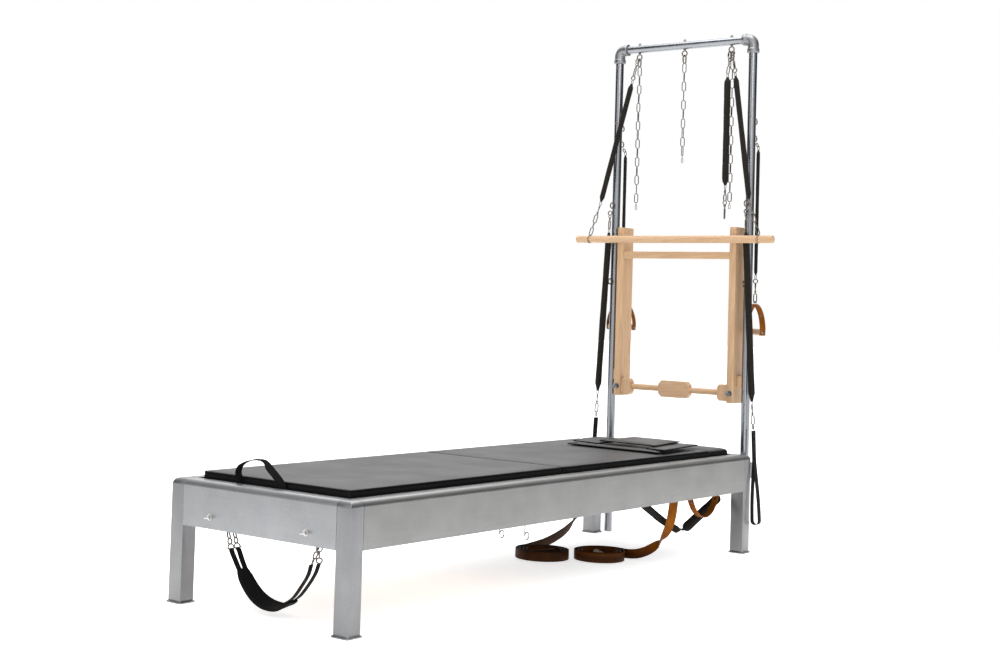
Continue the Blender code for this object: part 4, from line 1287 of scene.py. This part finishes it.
def cushion(name, lo, hi, radius, body, node, cap, step=0.022, held=0.35, pieces=None):
    patches = pieces
    if not pieces:
        # the four sides take the darker vinyl copy, a painted shade that makes them darker than the top and
        # the underside
        block = softBlock(lo, hi, radius, step)
        patches = [dict(p, mat=int(number < 4)) for number, p in enumerate(block)]
    looks, stands = [vinyl, edgeVinyl], (node,) if node else ()
    piece = makePiece(name, patches, looks, body, stands, sharp=60, weld=True)
    mesh = piece.data
    count = len(mesh.vertices)
    rest = np.zeros(count * 3)
    mesh.vertices.foreach_get("co", rest)
    rest = rest.reshape(-1, 3)
    pinned = piece.vertex_groups.new(name="underside")
    depth = np.array(hi)[2] - np.array(lo)[2]
    below = np.where(rest[:, 2] < np.array(lo)[2] + held * depth)[0]
    pinned.add(below.tolist(), 1.0, "REPLACE")
    cloth = piece.modifiers.new("filling", "CLOTH")
    own = cloth.settings
    own.quality = 5
    own.mass = 0.4
    own.tension_stiffness = own.compression_stiffness = 60
    own.bending_stiffness = 6
    own.use_pressure = True
    own.uniform_pressure_force = 4.0
    own.vertex_group_mass = "underside"
    own.effector_weights.gravity = 0
    cloth.collision_settings.use_collision = False
    cloth.point_cache.frame_start, cloth.point_cache.frame_end = 1, 20
    for number in range(1, 21):
        bpy.context.scene.frame_set(number)
    graph = bpy.context.evaluated_depsgraph_get()
    done = np.zeros(count * 3)
    piece.evaluated_get(graph).data.vertices.foreach_get("co", done)
    moved = done.reshape(-1, 3) - rest
    far = np.linalg.norm(moved, axis=1, keepdims=True)
    rest = rest + moved * np.minimum(1, cap / np.maximum(far, 1e-9))
    piece.modifiers.remove(cloth)
    mesh.vertices.foreach_set("co", rest.ravel())
    bpy.context.scene.frame_set(1)
    smooth = piece.modifiers.new("smooth", "SUBSURF")
    smooth.levels = smooth.render_levels = 1
    graph = bpy.context.evaluated_depsgraph_get()
    final = bpy.data.meshes.new_from_object(piece.evaluated_get(graph))
    piece.modifiers.clear()
    piece.vertex_groups.clear()
    piece.data = final
    final.shade_smooth()
    return piece


def piping(name, lo, hi, z, body, wire=0.0022, corner=0.012):
    # the sewn cord that runs round an edge
    outline = roundedRect(hi[0] - lo[0], hi[1] - lo[1], corner, 6)
    centred = outline + ((lo[0] + hi[0]) / 2, (lo[1] + hi[1]) / 2)
    path = np.column_stack([centred, np.full(len(outline), z)])
    cord = tube(path, wire, 8, (0, 0, 1), closed=True)
    # the cord takes the darker vinyl of the sides, a painted shade
    return makePiece(name, [cord], [edgeVinyl], body)


def mats():
    shrink = 0.0012
    for node in ("mat_panel_foot", "mat_panel_head", "mat_end_pad"):
        lo, hi = low(node), high(node)
        name = "matPanel_" + node.split("_")[-1]
        radius, cap, step = (0.0105, 0.0018, 0.024) if "panel" in node else (0.015, 0.0025, 0.016)
        start, end = lo + (shrink, shrink, 0), hi - (shrink, shrink, 0.001)
        cushion(name, start, end, radius, node, node, cap, step)
        if "panel" in node:
            rims = ("topPiping", 0.0035, hi[2] - 0.0045), ("lowPiping", 0.002, lo[2] + 0.005)
            for label, inset, z in rims:
                piping(f"{name}_{label}", lo + (inset, inset, 0), hi - (inset, inset, 0), z, node)


def betweenCorners(values, u, v):
    # bilinear: each corner's value counts by the share of the opposite rectangle
    shares = ((1 - u) * (1 - v), u * (1 - v), u * v, (1 - u) * v)
    return sum(np.multiply.outer(share, value) for share, value in zip(shares, np.array(values, float)))


def panelPad(name, corners, bottom, thick, lift, body, cap, node=None):
    # a thin quilt between four corners, thickest inside and closing to nothing at its edges
    u, v = np.meshgrid(np.linspace(0, 1, 21), np.linspace(0, 1, 21), indexing="ij")
    flat = betweenCorners(corners, u, v)
    edge = np.minimum(np.minimum(u, 1 - u), np.minimum(v, 1 - v))
    rim = np.sqrt(np.clip(1 - (1 - np.clip(edge / 0.10, 0, 1)) ** 2, 0, 1))
    middleZ = bottom + thick / 2 + betweenCorners(lift, u, v)
    upper = np.dstack([flat[..., 0], flat[..., 1], middleZ + rim * thick / 2])
    under = np.dstack([flat[..., 0], flat[..., 1], middleZ - rim * thick / 2])[::-1]
    patches = [dict(grid=upper, flat=True), dict(grid=under, flat=True)]
    lo, hi = upper.reshape(-1, 3).min(0), upper.reshape(-1, 3).max(0)
    lo[2] = bottom
    cushion(name, lo, hi, 0, body, node, cap, pieces=patches, held=0.5)
    border = np.vstack([flat[:, 0], flat[-1, 1:], flat[-2::-1, -1], flat[0, -2:0:-1]])
    heights = np.concatenate([middleZ[:, 0], middleZ[-1, 1:], middleZ[-2::-1, -1], middleZ[0, -2:0:-1]])
    binding = tube(np.column_stack([border, heights]), 0.0021, 8, (0, 0, 1), closed=True)
    # the binding takes the darker vinyl of the sides, a painted shade
    makePiece(name + "_binding", [binding], [edgeVinyl], body)


def flapPads():
    # a folded pad: a long front strip, a raised panel behind it, and flaps that reach out to both sides
    z = high("mat_panel_head")[2] + 0.0018
    x = footX
    front = [(x + 1.668, -0.262), (x + 1.720, -0.262), (x + 1.748, 0.128), (x + 1.690, 0.128)]
    back = [(x + 1.742, -0.205), (x + 1.955, -0.180), (x + 1.960, 0.020), (x + 1.760, 0.035)]
    rightFlap = [(x + 1.700, -0.268), (x + 1.984, -0.238), (x + 1.974, -0.120), (x + 1.712, -0.190)]
    leftFlap = [(x + 1.722, 0.020), (x + 1.965, 0.015), (x + 1.868, 0.138), (x + 1.742, 0.138)]
    panelPad("flapPad_front", front, z, 0.0085, (0, 0, 0, 0), "flap_pad", 0.0012, "flap_pad")
    panelPad("flapPad_right", rightFlap, z + 0.0090, 0.0055, (0, 0.001, 0.001, 0), "flap_pad", 0.001)
    panelPad("flapPad_left", leftFlap, z + 0.0090, 0.0055, (0, 0, 0.002, 0), "flap_pad", 0.001)
    panelPad("flapPad_back", back, z + 0.0155, 0.0080, (0, 0.002, 0.002, 0), "flap_pad", 0.0014)


# a darker, less shiny copy of the vinyl for the mats' sides, piping and bindings: painted shade
edgeVinyl = upholsteryVinyl()
edgeVinyl.name = "edgeVinyl"
edgeVinyl.node_tree.nodes["Principled BSDF"].inputs["Specular IOR Level"].default_value = 0.12
sideShadeRamp = [n for n in edgeVinyl.node_tree.nodes if n.bl_idname == "ShaderNodeValToRGB"][0]
for element in sideShadeRamp.color_ramp.elements:
    element.color = (0.006, 0.006, 0.006, 1)


# carriage, its wheels and springs, and what hangs under the frame


def carriage():
    lo, hi = low("carriage_board"), high("carriage_board")
    deck = np.array([lo[0], lo[1], hi[2] - 0.012]), hi
    patches = softBlock(deck[0], deck[1], 0.002, 0.3)
    for node in ("carriage_wheel_foot", "carriage_wheel_head"):
        for side, sign in sides:
            at = middle(f"{node}_{side}")
            ys = sorted((sign * (halfWidth - 0.094), sign * (halfWidth - 0.081)))
            nearEnd, farEnd = (at[0] - 0.018, ys[0], lo[2]), (at[0] + 0.018, ys[1], hi[2] - 0.011)
            plate = softBlock(nearEnd, farEnd, 0.0012, 0.3)
            patches += [dict(p, mat=1) for p in plate]
    looks = [beechX, darkSteel]
    makePiece("carriageBoard", patches, looks, "carriage", ("carriage_board",), weld=True)
    lo, hi = low("carriage_pad"), high("carriage_pad")
    start, end = lo + (0.002, 0.002, 0), hi - (0.002, 0.002, 0.0025)
    cushion("carriagePad", start, end, 0.009, "carriage", "carriage_pad", 0.002, 0.03)


def carriageSprings():
    # bare coils that lie side by side, with a wire eye at both ends
    for number in range(1, 5):
        node = f"carriage_spring_{number}"
        lo, hi = low(node), high(node)
        y, z = (lo[1] + hi[1]) / 2, (lo[2] + hi[2]) / 2
        inner = np.linspace(lo[0] + 0.022, hi[0] - 0.022, 1500)
        turn = (inner - inner[0]) / 0.0042 * 2 * math.pi
        coil = np.column_stack([inner, y + 0.0085 * np.cos(turn), z + 0.0085 * np.sin(turn)])
        patches = [tube(coil, 0.0013, 6, (1, 0, 0))]
        for a, b in ((lo[0], inner[0] + 0.002), (inner[-1] - 0.002, hi[0])):
            patches.append(linkBetween((a, y, z), (b, y, z), 0.015, 0.0013, (0, 0, 1)))
        makePiece(f"carriageSpring_{number}", patches, [chainZinc], "carriage", (node,))


def wheels():
    # a tyre round a hub with five small bolts
    tyre = [(0.0128, 0.0075), (0.0131, 0.0185), (0.0145, 0.0213), (0.016, 0.0220)]
    tyre += [(0.027, 0.0220), (0.0285, 0.0213), (0.0293, 0.0185), (0.0295, 0.0075)]
    hub = [(0, 0.0038), (0.012, 0.0040), (0.0122, 0.0072), (0.0293, 0.0072), (0.0294, 0.0040)]
    for end in ("foot", "head"):
        for side, sign in sides:
            node = f"carriage_wheel_{end}_{side}"
            lo, hi = low(node), high(node)
            start = ((lo[0] + hi[0]) / 2, sign * (halfWidth - 0.0795), (lo[2] + hi[2]) / 2)
            patches = [turned(tyre, start, (0, sign, 0), 48), turned(hub, start, (0, sign, 0), 24, 1)]
            for spoke in range(5):
                a = spoke * 2 * math.pi / 5
                at = np.array(start) + (0.0128 * math.cos(a), sign * 0.0126, 0.0128 * math.sin(a))
                patches.append(turned([(0, 0.0022), (0.0006, 0.0018)], at, (0, -sign, 0), 10, 1))
            name = f"wheel_{end}_{side}"
            makePiece(name, patches, [nylon, hookNickel], name, (node,))


def storedSprings():
    # two sleeved springs hooked together and left lying along the rail's inside
    y = 0.103 - halfWidth

    def at(x, z):
        return (footX + x, y, z)

    thin = at(1.598, 0.216), at(1.735, 0.146), at(1.848, 0.099)
    wide = at(1.893, 0.100), at(2.012, 0.146), at(2.138, 0.195)
    patches = [sleevedSpring(thin, 0.0125, taper=0.012)]
    patches += [sleevedSpring(wide, 0.0158, pitch=0.006, ripple=0.0008, taper=0.016, bands=(0.06, 0.5, 0.94))]
    patches += hardware(at(1.846, 0.100), at(1.897, 0.101), ("loop", "ring", "loop"), (0, 1, 0.2))
    block = [(0, 0.0105), (0.002, 0.0125), (0.040, 0.0125), (0.042, 0.0105)]
    patches.append(turned(block, at(1.592, 0.219), np.array(thin[1]) - np.array(thin[0]), 24, 2))
    node = "stored_springs"
    makePiece("storedSprings", patches, [sleeve, hookNickel, nylon], node, (node,))


def leatherLoop():
    # a short strap looped under the rail, with a rivet near both ends
    width, half = 0.024, 0.0013
    line = [(1.832, 0.240), (1.836, 0.214), (1.862, 0.177), (1.900, 0.152), (1.936, 0.146)]
    line += [(1.972, 0.157), (2.002, 0.184), (2.018, 0.213), (2.020, 0.240)]
    path = curveThrough([(footX + a, 0.049 - halfWidth, b) for a, b in line], 0.004)
    band = ribbon(path, width, 0.0028, (0, 1, 0))
    piece = makePiece("leatherLoop", [band], [leatherOrange], "frame")
    head = [(0, 0.0052), (0.0010, 0.0048), (0.0018, 0.0028), (0.0020, 0.001)]
    rivets = []
    for place in (10, -11):
        across = unit(np.cross(path[place + 1] - path[place - 1], (0, 1, 0)))
        rivets.append(turned(head, path[place] + across * half, across, 18))
        rivets.append(turned(head, path[place] - across * half, -across, 18))
    rivet = makePiece("leatherLoopRivets", rivets, [hookNickel], "frame")


def wireHooks():
    # two open wire hooks left under the near rail
    patches = []
    for x, drop in ((0.739, 0.028), (0.867, 0.046)):
        turn = np.linspace(-0.6 * math.pi, math.pi, 22)
        curl = np.stack([0.011 * np.cos(turn), np.zeros(22), 0.011 * np.sin(turn)], 1)[::-1]
        stem = np.array([(-0.011, 0, drop + 0.010), (-0.011, 0, drop * 0.5)])
        path = curveThrough(np.vstack([stem, curl]) + (footX + x, -0.290, railBottom - drop), 0.003)
        patches.append(tube(path, 0.0016, 8, (0, 1, 0)))
    makePiece("wireHooks", patches, [hookNickel], "frame")


slingParts()
mats()
liftLoop()
flapPads()
print("sling, mats and pads done")
carriage()
carriageSprings()
wheels()
storedSprings()
leatherLoop()
wireHooks()
print("carriage and stored items done")
